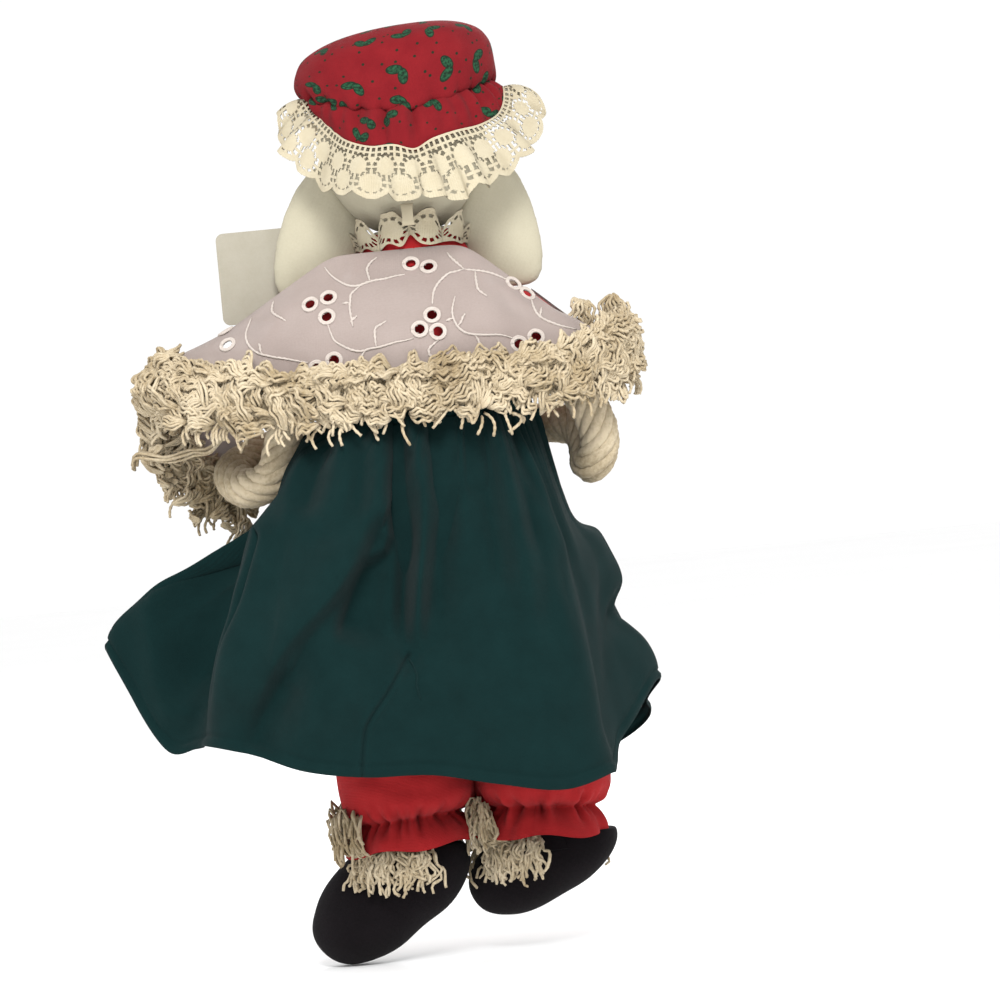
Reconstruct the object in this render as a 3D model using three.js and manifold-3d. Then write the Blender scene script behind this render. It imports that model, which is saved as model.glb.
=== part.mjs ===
// Bunny shelf sitter: a stuffed cloth doll with a mob cap, rope arms, a fringed stole,
// a gathered skirt, bloomers and stuffed boots. Millimetres, +Z up.
// The doll faces -Y, its left side is +X, and the origin is the centre line at the seat.
import * as THREE from "three";
import { mergeVertices } from "three/addons/utils/BufferGeometryUtils.js";
import Module from "manifold-3d";

const wasm = await Module();
wasm.setup();

// Driving dimensions
const GAP = 0.3; // clearance between sewn pieces that touch
const CLOTH = 1.2; // thickness of sewn cotton, with its seam folded in

// Stuffed body
const SEAT_CARD = 2; // thickness of the stiff card that makes the seat flat
const SEAT_CARD_HALF_WIDTH = 32;
const SEAT_CARD_FRONT = -7;
const SEAT_CARD_BACK = 31;
const BASE_HALF_WIDTH = 38;
const BASE_HALF_DEPTH = 35;
const BELLY_HEIGHT = 30;
const BELLY_HALF_WIDTH = 44;
const BELLY_HALF_DEPTH = 37;
const WAIST_HEIGHT = 58;
const WAIST_HALF_WIDTH = 39;
const WAIST_HALF_DEPTH = 31;
const CHEST_HEIGHT = 90;
const CHEST_HALF_WIDTH = 34;
const CHEST_HALF_DEPTH = 26;
const SHOULDER_HEIGHT = 113;
const SHOULDER_HALF_WIDTH = 25;
const SHOULDER_HALF_DEPTH = 20;
const NECK_HALF_WIDTH = 15;
const NECK_HEIGHT = 133;
const NECKLINE_DROP = 6; // of the bodice below the top of the neck
const PELLET_BAG_RADIUS = 17;
const PELLET_BAG_HEIGHT = 26;

// Head and face
const HEAD_CENTRE_Z = 169;
const HEAD_CENTRE_Y = -2;
const HEAD_HALF_WIDTH = 34;
const HEAD_HALF_DEPTH = 36;
const HEAD_HALF_HEIGHT = 39;
const MUZZLE_HALF_WIDTH = 17;
const MUZZLE_HALF_DEPTH = 13;
const MUZZLE_HALF_HEIGHT = 12;
const MUZZLE_DROP = 17; // below the middle of the head
const NOSE_HALF_WIDTH = 4.6;
const NOSE_HALF_HEIGHT = 3.4;
const EYE_RADIUS = 3.6;
const EYE_SPACING = 27;
const EYE_DROP = 3;

// Ears
const EAR_LENGTH = 56;
const EAR_HALF_WIDTH = 13.5;
const EAR_HALF_THICKNESS = 6.5;
const EAR_ROOT_DROP = 8; // below the middle of the head
const EAR_CLEAR = -0.5; // from the side of the head to the ear's root line
const EAR_SPREAD_LEFT_DEG = 24; // outwards, away from hanging straight down
const EAR_SPREAD_RIGHT_DEG = 14;

// Mob cap
const CAP_BAND_RISE = 14; // above the middle of the head
const CAP_CROWN_RADIUS = 39;
const CAP_CROWN_HEIGHT = 30.5;
const CAP_GATHERS = 18;
const CAP_BRIM_REACH = 8.5;
const CAP_BRIM_DROP_BACK = 20;
const CAP_BRIM_DROP_SIDE = 10;
const CAP_BRIM_DROP_FRONT = 5;
const CAP_ELASTIC = 2.4; // diameter of the elastic cord
const LACE_THICKNESS = 0.9;
const CAP_LACE_WIDTH = 15;
const CAP_LACE_FALL_BACK = 22;
const CAP_LACE_FALL_SIDE = 8;
const CAP_LACE_FALL_FRONT = -3;
const CAP_LACE_LEAN = 4; // the ruffle reaches further and higher on the doll's right
const CAP_LACE_WAVES = 11;

// Collar
const COLLAR_REACH = 1;
const COLLAR_RISE = 9.5;
const COLLAR_WAVES = 9;
const COLLAR_WAVE = 1; // half the depth of the ruffle's waves
const COLLAR_TIE_WIDTH = 5;
const COLLAR_TIE_HEIGHT = 9;
const COLLAR_TIE_DEPTH = 4.4;

// Waist, skirt and bloomers' seat
const WAISTBAND_HEIGHT = 8;
const SKIRT_LENGTH = 146;
const SKIRT_FLARE_LEFT = 88;
const SKIRT_FLARE_RIGHT = 33;
const SKIRT_FLARE_BACK = 13;
const SKIRT_FLARE_FRONT = 33;
const SKIRT_SLOPE = 29; // how far the hem slopes up towards the doll's left
const SKIRT_LIFT_LEFT = 43; // how far the hem rises further where the cloth fans out
const SKIRT_LIFT_RIGHT = 42;
const SKIRT_FLARE_CURVE = 1.6; // above 1 the cloth hangs close first, then spreads
const SKIRT_FAN_START = 0.25; // shares of the length between which the left side fans out
const SKIRT_FAN_END = 0.87;
const SKIRT_SWEEP_DEG = 28; // the folds start nearer the sides than they end
const SKIRT_FOLD_START = 0.35; // share of the length by which a fold is full
const SKIRT_LOBE = 8; // a billow above the fold on the doll's right
const SKIRT_LOBE_Z = -10;
const SKIRT_LOBE_HEIGHT = 10;
// Each fold's direction in degrees, its height (a valley is below 0), and half its width in degrees
const SKIRT_FOLDS = [
  [5, 3, 14],
  [34, -7, 7],
  [47, 17, 9],
  [68, 2, 8],
  [90, -4, 8],
  [110, 3, 9],
  [137, 7, 8],
  [152, -6, 6],
  [170, 3, 9],
  [200, 5, 12],
  [225, -3, 10],
  [250, 5, 11],
  [275, -3, 10],
  [300, 5, 11],
  [330, -3, 12],
];

// Stole and its fringe
const STOLE_NAPE_Z = 126;
const STOLE_HEM_Z = 73;
const STOLE_HEM_RISE = 12; // where the hem passes over the arms
const STOLE_HEM_Y = 41;
const STOLE_REACH_LEFT = 83;
const STOLE_REACH_RIGHT = 68;
const STOLE_HEM_SPREAD_LEFT = 19;
const STOLE_HEM_SPREAD_RIGHT = 11;
const STOLE_FLAT_LEFT = 32; // of the top edge, from the middle of the nape
const STOLE_FLAT_RIGHT = 21;
const STOLE_SLOPE_LEFT = 0.58;
const STOLE_SLOPE_RIGHT = 0.88;
const STOLE_END_DROP_LEFT = 40; // how far the left end hangs below the hem at the back
const STOLE_END_DROP_RIGHT = -12; // the right end is carried higher, over the arm
const STOLE_WRAP_DEG = 142; // each way from the middle of the back
const FRINGE_DEPTH = 9;
const FRINGE_HEIGHT = 24;
const FRINGE_OVERLAP = 7; // of the fringe heading over the stole's hem

// Rope arms
const ROPE_DIAMETER = 16;
const SHOULDER_X = 44;
const SHOULDER_Y = 2;
const SHOULDER_Z = 88;
const ELBOW_OUT_LEFT = 30; // from the shoulder, sideways
const ELBOW_OUT_RIGHT = 20;
const ELBOW_DROP = 55;
const FOREARM_REACH = 56;
const FOREARM_RISE = 20;
const BINDING_LENGTH = 5;
const BINDING_THICKNESS = 1.4;
const HAND_LENGTH = 15;

// Legs, bloomers and boots
const LEG_SPACING = 54;
const LEG_OFFSET = -4; // the legs hang a little to the doll's right
const HIP_RADIUS = 11;
const HIP_Y = -21;
const LEG_LENGTH = 102; // from the hip's centre to the ankle
const LEG_CALF_RADIUS = 12.5;
const ANKLE_RADIUS = 11;
const BLOOMER_TOP_DROP = 15; // below the hip's centre
const BLOOMER_TOP_RADIUS = 16;
const BLOOMER_RADIUS = 24.5;
const BLOOMER_GATHER_RISE = 8; // of the elastic above the ankle
const BLOOMER_GATHER_WALL = 4.5;
const BLOOMER_FRILL = 10;
const BLOOMER_FRILL_REACH = 8;
const BLOOMER_ELASTIC = 2;
const BOOT_SHAFT_RADIUS = 14;
const BOOT_SHAFT_HEIGHT = 10;
const BOOT_FOOT_DROP = 5; // of the foot's top below the shaft's
const BOOT_FOOT_THICKNESS = 0.85; // of the foot's depth against its width
const BOOT_HALF_WIDTH_LEFT = 20.5;
const BOOT_HALF_WIDTH_RIGHT = 17.5;
// Each foot's heel and toe from the ankle: to the doll's left, back and up
const BOOT_HEEL_LEFT = [-17.5, 4, 1.5];
const BOOT_TOE_LEFT = [41, -16, -43.5];
const BOOT_HEEL_RIGHT = [-26, 4, 2.5];
const BOOT_TOE_RIGHT = [31, -14, -29];
const CUFF_HEIGHT = 15;
const CUFF_DEPTH = 4.5;
const CUFF_RADIUS = 22;
const CUFF_DROP = 2.4; // of the ruff's top below the shaft's, under the frill

// Swing tag
const TAG_WIDTH = 40;
const TAG_HEIGHT = 37;
const TAG_THICKNESS = 0.8;
const TAG_CORNER = 3;
const TAG_TOP_DROP = 22; // below the ear's root
const TAG_START = 5; // outwards from the ear's root

// Points round the plain and the waved rings
const ROUND = 24;
const CAP_ROUND = 36;
const LACE_POINTS_PER_WAVE = 5;
const SKIRT_ROUND = 90;

const TAU = Math.PI * 2;
const rad = THREE.MathUtils.degToRad;
const { lerp, smoothstep, clamp } = THREE.MathUtils;
const point = (x, y, z) => new THREE.Vector3(x, y, z);

// Closed surfaces

// A geometry from points and quads that wrap around each ring, turned to face outwards.
function surface(points, triangles) {
  const geometry = new THREE.BufferGeometry();
  const positions = points.flatMap((p) => [p.x, p.y, p.z]);
  let volume = 0;
  for (const [a, b, c] of triangles) {
    volume += points[a].dot(points[b].clone().cross(points[c]));
  }
  const facing = volume < 0 ? triangles.map(([a, b, c]) => [a, c, b]) : triangles;
  geometry.setAttribute("position", new THREE.Float32BufferAttribute(positions, 3));
  geometry.setIndex(facing.flat());
  return geometry;
}

function ringQuads(count, first, second) {
  const triangles = [];
  for (let i = 0; i < count; i += 1) {
    const j = (i + 1) % count;
    triangles.push([first + i, first + j, second + i], [second + i, first + j, second + j]);
  }
  return triangles;
}

// Rings joined one to the next, with both ends closed by a fan.
function loftSolid(rings) {
  const count = rings[0].length;
  const points = rings.flat();
  const triangles = [];
  for (let k = 0; k + 1 < rings.length; k += 1) {
    triangles.push(...ringQuads(count, k * count, (k + 1) * count));
  }
  const ends = [
    { ring: rings[0], start: 0, flip: true },
    { ring: rings.at(-1), start: (rings.length - 1) * count, flip: false },
  ];
  for (const { ring, start, flip } of ends) {
    const middle = ring.reduce((sum, p) => sum.add(p), point(0, 0, 0)).divideScalar(count);
    const apex = points.push(middle) - 1;
    for (let i = 0; i < count; i += 1) {
      const a = start + i;
      const b = start + ((i + 1) % count);
      triangles.push(flip ? [apex, b, a] : [apex, a, b]);
    }
  }
  return surface(points, triangles);
}

// Rings joined in a closed cycle, as a sleeve or a ruffle is.
function sleeveSolid(rings) {
  const count = rings[0].length;
  const triangles = [];
  for (let k = 0; k < rings.length; k += 1) {
    triangles.push(...ringQuads(count, k * count, ((k + 1) % rings.length) * count));
  }
  return surface(rings.flat(), triangles);
}

// A ring of points about the Z axis; shape(angle) gives each point.
function ringOf(count, shape) {
  return Array.from({ length: count }, (_, i) => shape((i / count) * TAU));
}

function ellipseRing(halfWidth, halfDepth, z, y = 0, count = ROUND) {
  return ringOf(count, (t) => point(halfWidth * Math.cos(t), y + halfDepth * Math.sin(t), z));
}

// A tube round a line of centres, with the two half widths of each section, and round ends.
function limbSolid(centres, sections, sideHint, count = 12) {
  const curve = new THREE.CatmullRomCurve3(centres, false, "centripetal");
  const rings = sections.map(({ at, wide, deep }) => {
    const centre = curve.getPointAt(clamp(at, 0, 1));
    const along = curve.getTangentAt(clamp(at, 0, 1));
    const side = sideHint.clone().addScaledVector(along, -sideHint.dot(along)).normalize();
    const depth = along.clone().cross(side);
    return ringOf(count, (t) => {
      const offset = side.clone().multiplyScalar(wide * Math.cos(t));
      return centre.clone().add(offset).addScaledVector(depth, deep * Math.sin(t));
    });
  });
  return loftSolid(rings);
}

function ellipsoid(centre, halfWidth, halfDepth, halfHeight, across = ROUND, up = 14) {
  const geometry = new THREE.SphereGeometry(1, across, up);
  geometry.rotateX(Math.PI / 2);
  geometry.scale(halfWidth, halfDepth, halfHeight);
  geometry.translate(centre.x, centre.y, centre.z);
  return geometry;
}

// Cuts and joins

function solidOf(geometry) {
  const bare = geometry.clone();
  bare.deleteAttribute("normal");
  bare.deleteAttribute("uv");
  const merged = mergeVertices(bare, 1e-4);
  return new wasm.Manifold(
    new wasm.Mesh({
      numProp: 3,
      vertProperties: new Float32Array(merged.attributes.position.array),
      triVerts: new Uint32Array(merged.index.array),
    }),
  );
}

function geometryOf(solid) {
  const mesh = solid.getMesh();
  const geometry = new THREE.BufferGeometry();
  const positions = new Float32Array(mesh.vertProperties);
  geometry.setAttribute("position", new THREE.BufferAttribute(positions, 3));
  geometry.setIndex(Array.from(mesh.triVerts));
  return geometry;
}

function cut(geometry, ...tools) {
  const left = tools.reduce((solid, tool) => solid.subtract(solidOf(tool)), solidOf(geometry));
  return geometryOf(left);
}

function common(geometry, other) {
  return geometryOf(solidOf(geometry).intersect(solidOf(other)));
}

function join(...geometries) {
  const [first, ...rest] = geometries.map(solidOf);
  return geometryOf(rest.reduce((sum, solid) => sum.add(solid), first));
}

function moved(geometry, x, y, z) {
  return geometry.clone().translate(x, y, z);
}

// Materials

function cotton(hex, roughness = 0.9) {
  return new THREE.MeshStandardMaterial({ color: hex, roughness, metalness: 0 });
}

const MUSLIN = cotton(0xd9d6c8);
const RED_PRINT = cotton(0x9e2230);
const RED_CLOTH = cotton(0xa32026);
const GREEN_CLOTH = cotton(0x14403a);
const LACE = cotton(0xf0ead8);
const EYELET_CLOTH = cotton(0xe6dfdf);
const YARN = cotton(0xd8c9a8, 0.95);
const BLACK_CLOTH = cotton(0x1d171b, 0.95);
const CARD = cotton(0xd6d5cf, 0.7);
const ELASTIC = cotton(0xe8e6e0, 0.8);
const BEAD = cotton(0x0c0b0d, 0.15);
const NOSE_FLOSS = cotton(0xc98a86, 0.8);

function piece(name, geometry, material) {
  const mesh = new THREE.Mesh(geometry, material);
  mesh.name = name;
  return mesh;
}

const doll = new THREE.Group();

// Torso: an ellipse that swells at the belly and narrows to the neck

const TORSO_BOTTOM = SEAT_CARD + GAP;
const TORSO_SECTIONS = [
  { z: TORSO_BOTTOM, a: BASE_HALF_WIDTH, b: BASE_HALF_DEPTH },
  { z: BELLY_HEIGHT, a: BELLY_HALF_WIDTH, b: BELLY_HALF_DEPTH },
  { z: WAIST_HEIGHT, a: WAIST_HALF_WIDTH, b: WAIST_HALF_DEPTH },
  { z: CHEST_HEIGHT, a: CHEST_HALF_WIDTH, b: CHEST_HALF_DEPTH },
  { z: SHOULDER_HEIGHT, a: SHOULDER_HALF_WIDTH, b: SHOULDER_HALF_DEPTH },
  { z: NECK_HEIGHT, a: NECK_HALF_WIDTH, b: NECK_HALF_WIDTH },
];

// The torso's half widths at a height, eased from one section to the next.
function torsoSwell(z) {
  const upper = TORSO_SECTIONS.findIndex((s) => s.z >= z);
  if (upper === 0) return TORSO_SECTIONS[0];
  if (upper < 0) return TORSO_SECTIONS.at(-1);
  const low = TORSO_SECTIONS[upper - 1];
  const high = TORSO_SECTIONS[upper];
  const share = smoothstep(z, low.z, high.z);
  return { a: lerp(low.a, high.a, share), b: lerp(low.b, high.b, share) };
}

function heights(low, high, count) {
  return Array.from({ length: count }, (_, i) => lerp(low, high, i / (count - 1)));
}

const TORSO_LEVELS = heights(TORSO_BOTTOM, NECK_HEIGHT, 14);

// The half widths of the faceted torso, which its clothes follow.
function torsoAt(z) {
  const step = (NECK_HEIGHT - TORSO_BOTTOM) / (TORSO_LEVELS.length - 1);
  const index = clamp(Math.floor((z - TORSO_BOTTOM) / step), 0, TORSO_LEVELS.length - 2);
  const low = torsoSwell(TORSO_LEVELS[index]);
  const high = torsoSwell(TORSO_LEVELS[index + 1]);
  const share = clamp((z - TORSO_LEVELS[index]) / step, 0, 1);
  return { a: lerp(low.a, high.a, share), b: lerp(low.b, high.b, share) };
}

function torsoRing(z, offset) {
  const { a, b } = torsoAt(z);
  return ellipseRing(a + offset, b + offset, z);
}

function makeTorso() {
  const body = loftSolid(TORSO_LEVELS.map((z) => torsoRing(z, 0)));
  const pocket = new THREE.CylinderGeometry(
    PELLET_BAG_RADIUS + GAP,
    PELLET_BAG_RADIUS + GAP,
    PELLET_BAG_HEIGHT + GAP,
    ROUND,
  );
  pocket.rotateX(Math.PI / 2);
  const pocketMiddle = TORSO_BOTTOM + (PELLET_BAG_HEIGHT + GAP) / 2;
  const pocketY = (SEAT_CARD_FRONT + SEAT_CARD_BACK) / 2;
  const mouth = pocket.clone().translate(0, pocketY, pocketMiddle - PELLET_BAG_HEIGHT / 2);
  const pocketCut = moved(pocket, 0, pocketY, pocketMiddle);
  doll.add(piece("torso", cut(body, pocketCut, mouth), MUSLIN));
  doll.add(piece("pellet_bag", makePelletBag(pocketY), MUSLIN));
  doll.add(piece("seat_card", makeSeatCard(), CARD));
}

// A sewn pouch of pellets: flat below, with a rounded shoulder.
function makePelletBag(y) {
  const rounding = PELLET_BAG_RADIUS * 0.35;
  const steps = [0, 0.5, 1].map((t) => t * (Math.PI / 2));
  const low = ellipseRing(PELLET_BAG_RADIUS, PELLET_BAG_RADIUS, TORSO_BOTTOM, y);
  const shoulder = steps.map((t) => {
    const radius = PELLET_BAG_RADIUS - rounding * (1 - Math.cos(t));
    const z = TORSO_BOTTOM + PELLET_BAG_HEIGHT - rounding * (1 - Math.sin(t));
    return ellipseRing(radius, radius, z, y);
  });
  return loftSolid([low, ...shoulder]);
}

// The flat card at the seat, an oval with its front edge behind the legs.
function makeSeatCard() {
  const halfDepth = (SEAT_CARD_BACK - SEAT_CARD_FRONT) / 2;
  const outline = new THREE.Shape();
  outline.absellipse(0, (SEAT_CARD_BACK + SEAT_CARD_FRONT) / 2, SEAT_CARD_HALF_WIDTH, halfDepth, 0, TAU);
  return new THREE.ExtrudeGeometry(outline, { depth: SEAT_CARD, bevelEnabled: false, curveSegments: ROUND });
}

// Dress: bodice, waistband and skirt on the torso

const NECKLINE = NECK_HEIGHT - NECKLINE_DROP;
const WAISTBAND_TOP = WAIST_HEIGHT + WAISTBAND_HEIGHT / 2;
const WAISTBAND_BOTTOM = WAIST_HEIGHT - WAISTBAND_HEIGHT / 2;

// A cloth tube that follows the torso between two heights.
function torsoSleeve(low, high, thickness) {
  const between = TORSO_LEVELS.filter((z) => z > low + GAP && z < high - GAP);
  const levels = [low, ...between, high];
  const outer = levels.map((z) => torsoRing(z, GAP + thickness));
  const inner = levels.map((z) => torsoRing(z, GAP)).reverse();
  return sleeveSolid([...outer, ...inner]);
}

function makeDress() {
  doll.add(piece("bodice", torsoSleeve(WAISTBAND_TOP + GAP, NECKLINE, CLOTH), RED_PRINT));
  doll.add(piece("waistband", torsoSleeve(WAISTBAND_BOTTOM, WAISTBAND_TOP, 2 * CLOTH), GREEN_CLOTH));
  const seatTop = WAISTBAND_BOTTOM - 4 * GAP - CLOTH;
  doll.add(piece("bloomer_seat", torsoSleeve(TORSO_BOTTOM + 2 * CLOTH, seatTop, CLOTH), RED_CLOTH));
  doll.add(piece("skirt", makeSkirt(), GREEN_CLOTH));
}

// The skirt hangs from under the waistband in folds. It is fanned out to the doll's left,
// so the hem rises there, as cloth of one length does.
function skirtPoint(angle, down, offset) {
  const across = Math.cos(angle);
  const back = Math.sin(angle);
  const top = WAISTBAND_BOTTOM - GAP;
  const flare = down ** SKIRT_FLARE_CURVE;
  const fan = lerp(flare, smoothstep(down, SKIRT_FAN_START, SKIRT_FAN_END), clamp(across, 0, 1));
  const sideFlare = across > 0 ? SKIRT_FLARE_LEFT * fan : SKIRT_FLARE_RIGHT * flare;
  const deepFlare = (back > 0 ? SKIRT_FLARE_BACK : SKIRT_FLARE_FRONT) * flare;
  const slope = SKIRT_SLOPE * smoothstep(across, -0.3, 0.8);
  const lift = across > 0 ? SKIRT_LIFT_LEFT * across ** 12 : SKIRT_LIFT_RIGHT * across ** 8;
  const z = top - (SKIRT_LENGTH - slope - lift) * down;
  const hips = torsoAt(Math.max(z, BELLY_HEIGHT));
  const ease = 2 * CLOTH + 4 * GAP + skirtFold(angle, down) + offset;
  const billow = SKIRT_LOBE * Math.exp(-(((z - SKIRT_LOBE_Z) / SKIRT_LOBE_HEIGHT) ** 2));
  const side = across < 0 ? billow * across ** 4 : 0;
  return point(
    across * (hips.a + ease + sideFlare + side),
    back * (hips.b + ease + deepFlare),
    z,
  );
}

// How far the folds stand out. They run from nearer the sides at the waist towards the back at the hem.
function skirtFold(angle, down) {
  const turn = (angle / rad(1)) % 360;
  const swept = turn + SKIRT_SWEEP_DEG * (1 - down) * Math.cos(angle);
  const folds = SKIRT_FOLDS.map(([middle, height, half]) => {
    const apart = ((swept - middle + 540) % 360) - 180;
    return height * Math.exp(-((apart / half) ** 2));
  });
  const total = folds.reduce((sum, fold) => sum + fold, 0);
  const start = total > 0 ? 0 : SKIRT_FOLD_START;
  return total * smoothstep(down, start, start + SKIRT_FOLD_START) + 3 * down;
}

function makeSkirt() {
  const rows = heights(0, 1, 10);
  const ring = (down, offset) => ringOf(SKIRT_ROUND, (t) => skirtPoint(t, down, offset));
  const outer = rows.map((down) => ring(down, CLOTH / 2));
  const inner = rows.map((down) => ring(down, -CLOTH / 2)).reverse();
  return sleeveSolid([...outer, ...inner]);
}

// Collar: a lace ruffle that stands round the neck, and the tie at the nape

// The radius that clears both the neck and the underside of the head at a height.
function neckRoom(z) {
  return Math.max(torsoAt(z).a, headAt(z - HEAD_CENTRE_Z).b + Math.abs(HEAD_CENTRE_Y)) + GAP;
}

function makeCollar() {
  const foot = NECKLINE + GAP;
  const ring = (share, offset) =>
    ringOf(COLLAR_WAVES * LACE_POINTS_PER_WAVE, (t) => {
      const z = foot + COLLAR_RISE * share;
      const wave = share * COLLAR_WAVE * (1 + Math.cos(COLLAR_WAVES * (t - Math.PI / 2)));
      const radius = neckRoom(z) + COLLAR_REACH * share + wave + offset;
      return point(radius * Math.cos(t), radius * Math.sin(t), z);
    });
  const rows = [0, 0.35, 0.7, 1];
  const outer = rows.map((share) => ring(share, LACE_THICKNESS));
  const inner = rows.map((share) => ring(share, 0)).reverse();
  doll.add(piece("collar_lace", sleeveSolid([...outer, ...inner]), LACE));
  doll.add(piece("collar_tie", makeCollarTie(foot + COLLAR_RISE), LACE));
}

// A loop of ribbon that stands at the nape against the ruffle's edge.
function makeCollarTie(z) {
  const loop = new THREE.Shape();
  const inside = new THREE.Path();
  loop.absellipse(0, 0, COLLAR_TIE_DEPTH / 2, COLLAR_TIE_HEIGHT / 2, 0, TAU);
  inside.absellipse(0, 0, COLLAR_TIE_DEPTH / 2 - CLOTH, COLLAR_TIE_HEIGHT / 2 - CLOTH, 0, TAU);
  loop.holes.push(inside);
  const ribbon = new THREE.ExtrudeGeometry(loop, { depth: COLLAR_TIE_WIDTH, bevelEnabled: false, curveSegments: 8 });
  ribbon.translate(0, 0, -COLLAR_TIE_WIDTH / 2);
  ribbon.rotateX(Math.PI / 2).rotateZ(Math.PI / 2);
  const edge = neckRoom(z) + COLLAR_REACH + 2 * COLLAR_WAVE + LACE_THICKNESS;
  return ribbon.translate(0, edge + GAP + COLLAR_TIE_DEPTH / 2, z);
}

// Stole: a band of eyelet cloth round the back and arms, with a fringe along its hem

const STOLE_NAPE_Y = torsoAt(STOLE_NAPE_Z).b + 2 * GAP + 1.5 * CLOTH;

// The two edges of the stole at share -1 (right end) to 1 (left end) of its length.
function stoleEdge(share, isHem) {
  const angle = rad(90 - share * STOLE_WRAP_DEG);
  const across = Math.sign(Math.cos(angle)) * Math.abs(Math.cos(angle)) ** 0.8;
  const back = Math.sign(Math.sin(angle)) * Math.abs(Math.sin(angle)) ** 0.8;
  const isLeft = across > 0;
  const reach = isLeft ? STOLE_REACH_LEFT : STOLE_REACH_RIGHT;
  const spread = isLeft ? STOLE_HEM_SPREAD_LEFT : STOLE_HEM_SPREAD_RIGHT;
  const endDrop = isLeft ? STOLE_END_DROP_LEFT : STOLE_END_DROP_RIGHT;
  const slope = isLeft ? STOLE_SLOPE_LEFT : STOLE_SLOPE_RIGHT;
  const flat = isLeft ? STOLE_FLAT_LEFT : STOLE_FLAT_RIGHT;
  const drop = endDrop * smoothstep(Math.abs(share), 0.55, 1);
  const x = across * (reach + (isHem ? spread : 0));
  const y = back * (isHem ? STOLE_HEM_Y : STOLE_NAPE_Y);
  const topZ = STOLE_NAPE_Z - slope * Math.max(0, Math.abs(x) - flat) - drop * 0.3;
  const hemZ = STOLE_HEM_Z + STOLE_HEM_RISE * across ** 4 - drop;
  return point(x, y, isHem ? hemZ : topZ);
}

function stolePoint(share, down, offset) {
  const top = stoleEdge(share, false);
  const hem = stoleEdge(share, true);
  const bulge = 5 * Math.sin(Math.PI * down);
  const outward = point(hem.x, hem.y * 1.6, 0).normalize();
  return top.lerp(hem, down).addScaledVector(outward, bulge + offset);
}

function makeStole() {
  const columns = heights(-1, 1, 45);
  const rows = heights(0, 1, 6);
  const outer = columns.map((share) => rows.map((down) => stolePoint(share, down, CLOTH / 2)));
  const inner = columns.map((share) => rows.map((down) => stolePoint(share, down, -CLOTH / 2)));
  const loops = columns.map((_, i) => [...outer[i], ...inner[i].reverse()]);
  doll.add(piece("stole", loftSolid(loops), EYELET_CLOTH));
  doll.add(piece("stole_fringe", makeStoleFringe(), YARN));
}

// The fringe is a thick lumpy roll of looped yarn on the outside of the hem.
function makeStoleFringe() {
  const sides = 10;
  const rings = heights(-1, 1, 61).map((share, k) => {
    const hem = stoleEdge(share, true);
    const outward = point(hem.x, hem.y * 1.6, 0).normalize();
    const lump = 1 + 0.1 * Math.sin(k * 2.4);
    const foot = stolePoint(share, 1, CLOTH / 2 + GAP);
    return ringOf(sides, (t) => {
      const out = (FRINGE_DEPTH / 2) * (1 + Math.cos(t)) * lump;
      const up = FRINGE_OVERLAP - (FRINGE_HEIGHT / 2) * (1 - Math.sin(t)) * lump;
      return foot.clone().addScaledVector(outward, out + leanOut(up)).add(point(0, 0, up));
    });
  });
  return loftSolid(rings);
}

// Above the hem the fringe's back leaves room for the bulge of the stole.
function leanOut(up) {
  return up > 0 ? -0.08 * up : 0;
}

// Head group: the head, its face and the mob cap, about the head's middle

const headGroup = new THREE.Group();
headGroup.position.set(0, HEAD_CENTRE_Y, HEAD_CENTRE_Z);
doll.add(headGroup);

const ORIGIN = point(0, 0, 0);
const MUZZLE_CENTRE = point(0, -(HEAD_HALF_DEPTH - MUZZLE_HALF_DEPTH * 0.55), -MUZZLE_DROP);

function headShape(offset) {
  const skull = ellipsoid(
    ORIGIN,
    HEAD_HALF_WIDTH + offset,
    HEAD_HALF_DEPTH + offset,
    HEAD_HALF_HEIGHT + offset,
    24,
    16,
  );
  const muzzle = ellipsoid(
    MUZZLE_CENTRE,
    MUZZLE_HALF_WIDTH + offset,
    MUZZLE_HALF_DEPTH + offset,
    MUZZLE_HALF_HEIGHT + offset,
    16,
    10,
  );
  return join(skull, muzzle);
}

// The half widths of the head at a height above its middle.
function headAt(z) {
  const round = Math.sqrt(Math.max(0, 1 - (z / HEAD_HALF_HEIGHT) ** 2));
  return { a: HEAD_HALF_WIDTH * round, b: HEAD_HALF_DEPTH * round };
}

function makeHead() {
  const flatBottom = NECK_HEIGHT + GAP - HEAD_CENTRE_Z;
  const below = new THREE.BoxGeometry(HEAD_HALF_WIDTH * 2, HEAD_HALF_DEPTH * 2, HEAD_HALF_HEIGHT);
  below.translate(0, 0, flatBottom - HEAD_HALF_HEIGHT / 2);
  headGroup.add(piece("head", cut(headShape(0), below), MUSLIN));
  const clearance = headShape(GAP);
  const noseCentre = MUZZLE_CENTRE.clone().add(
    point(0, -MUZZLE_HALF_DEPTH * 0.9, MUZZLE_HALF_HEIGHT * 0.5),
  );
  const nose = ellipsoid(noseCentre, NOSE_HALF_WIDTH, NOSE_HALF_HEIGHT, NOSE_HALF_HEIGHT, 12, 8);
  headGroup.add(piece("nose", cut(nose, clearance), NOSE_FLOSS));
  for (const [side, sign] of [["left", 1], ["right", -1]]) {
    const x = (sign * EYE_SPACING) / 2;
    const height = 1 - (x / HEAD_HALF_WIDTH) ** 2 - (EYE_DROP / HEAD_HALF_HEIGHT) ** 2;
    const y = -HEAD_HALF_DEPTH * Math.sqrt(height);
    const eye = ellipsoid(point(x, y - EYE_RADIUS * 0.3, -EYE_DROP), EYE_RADIUS, EYE_RADIUS, EYE_RADIUS, 12, 8);
    headGroup.add(piece(`eye_${side}`, cut(eye, clearance), BEAD));
  }
}

// A value that goes from front to back round the cap, with its own value at the sides.
function roundCap(angle, back, side, front) {
  const sine = Math.sin(angle);
  const middle = sine > 0 ? back : front;
  return lerp(side, middle, sine * sine);
}

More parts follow.
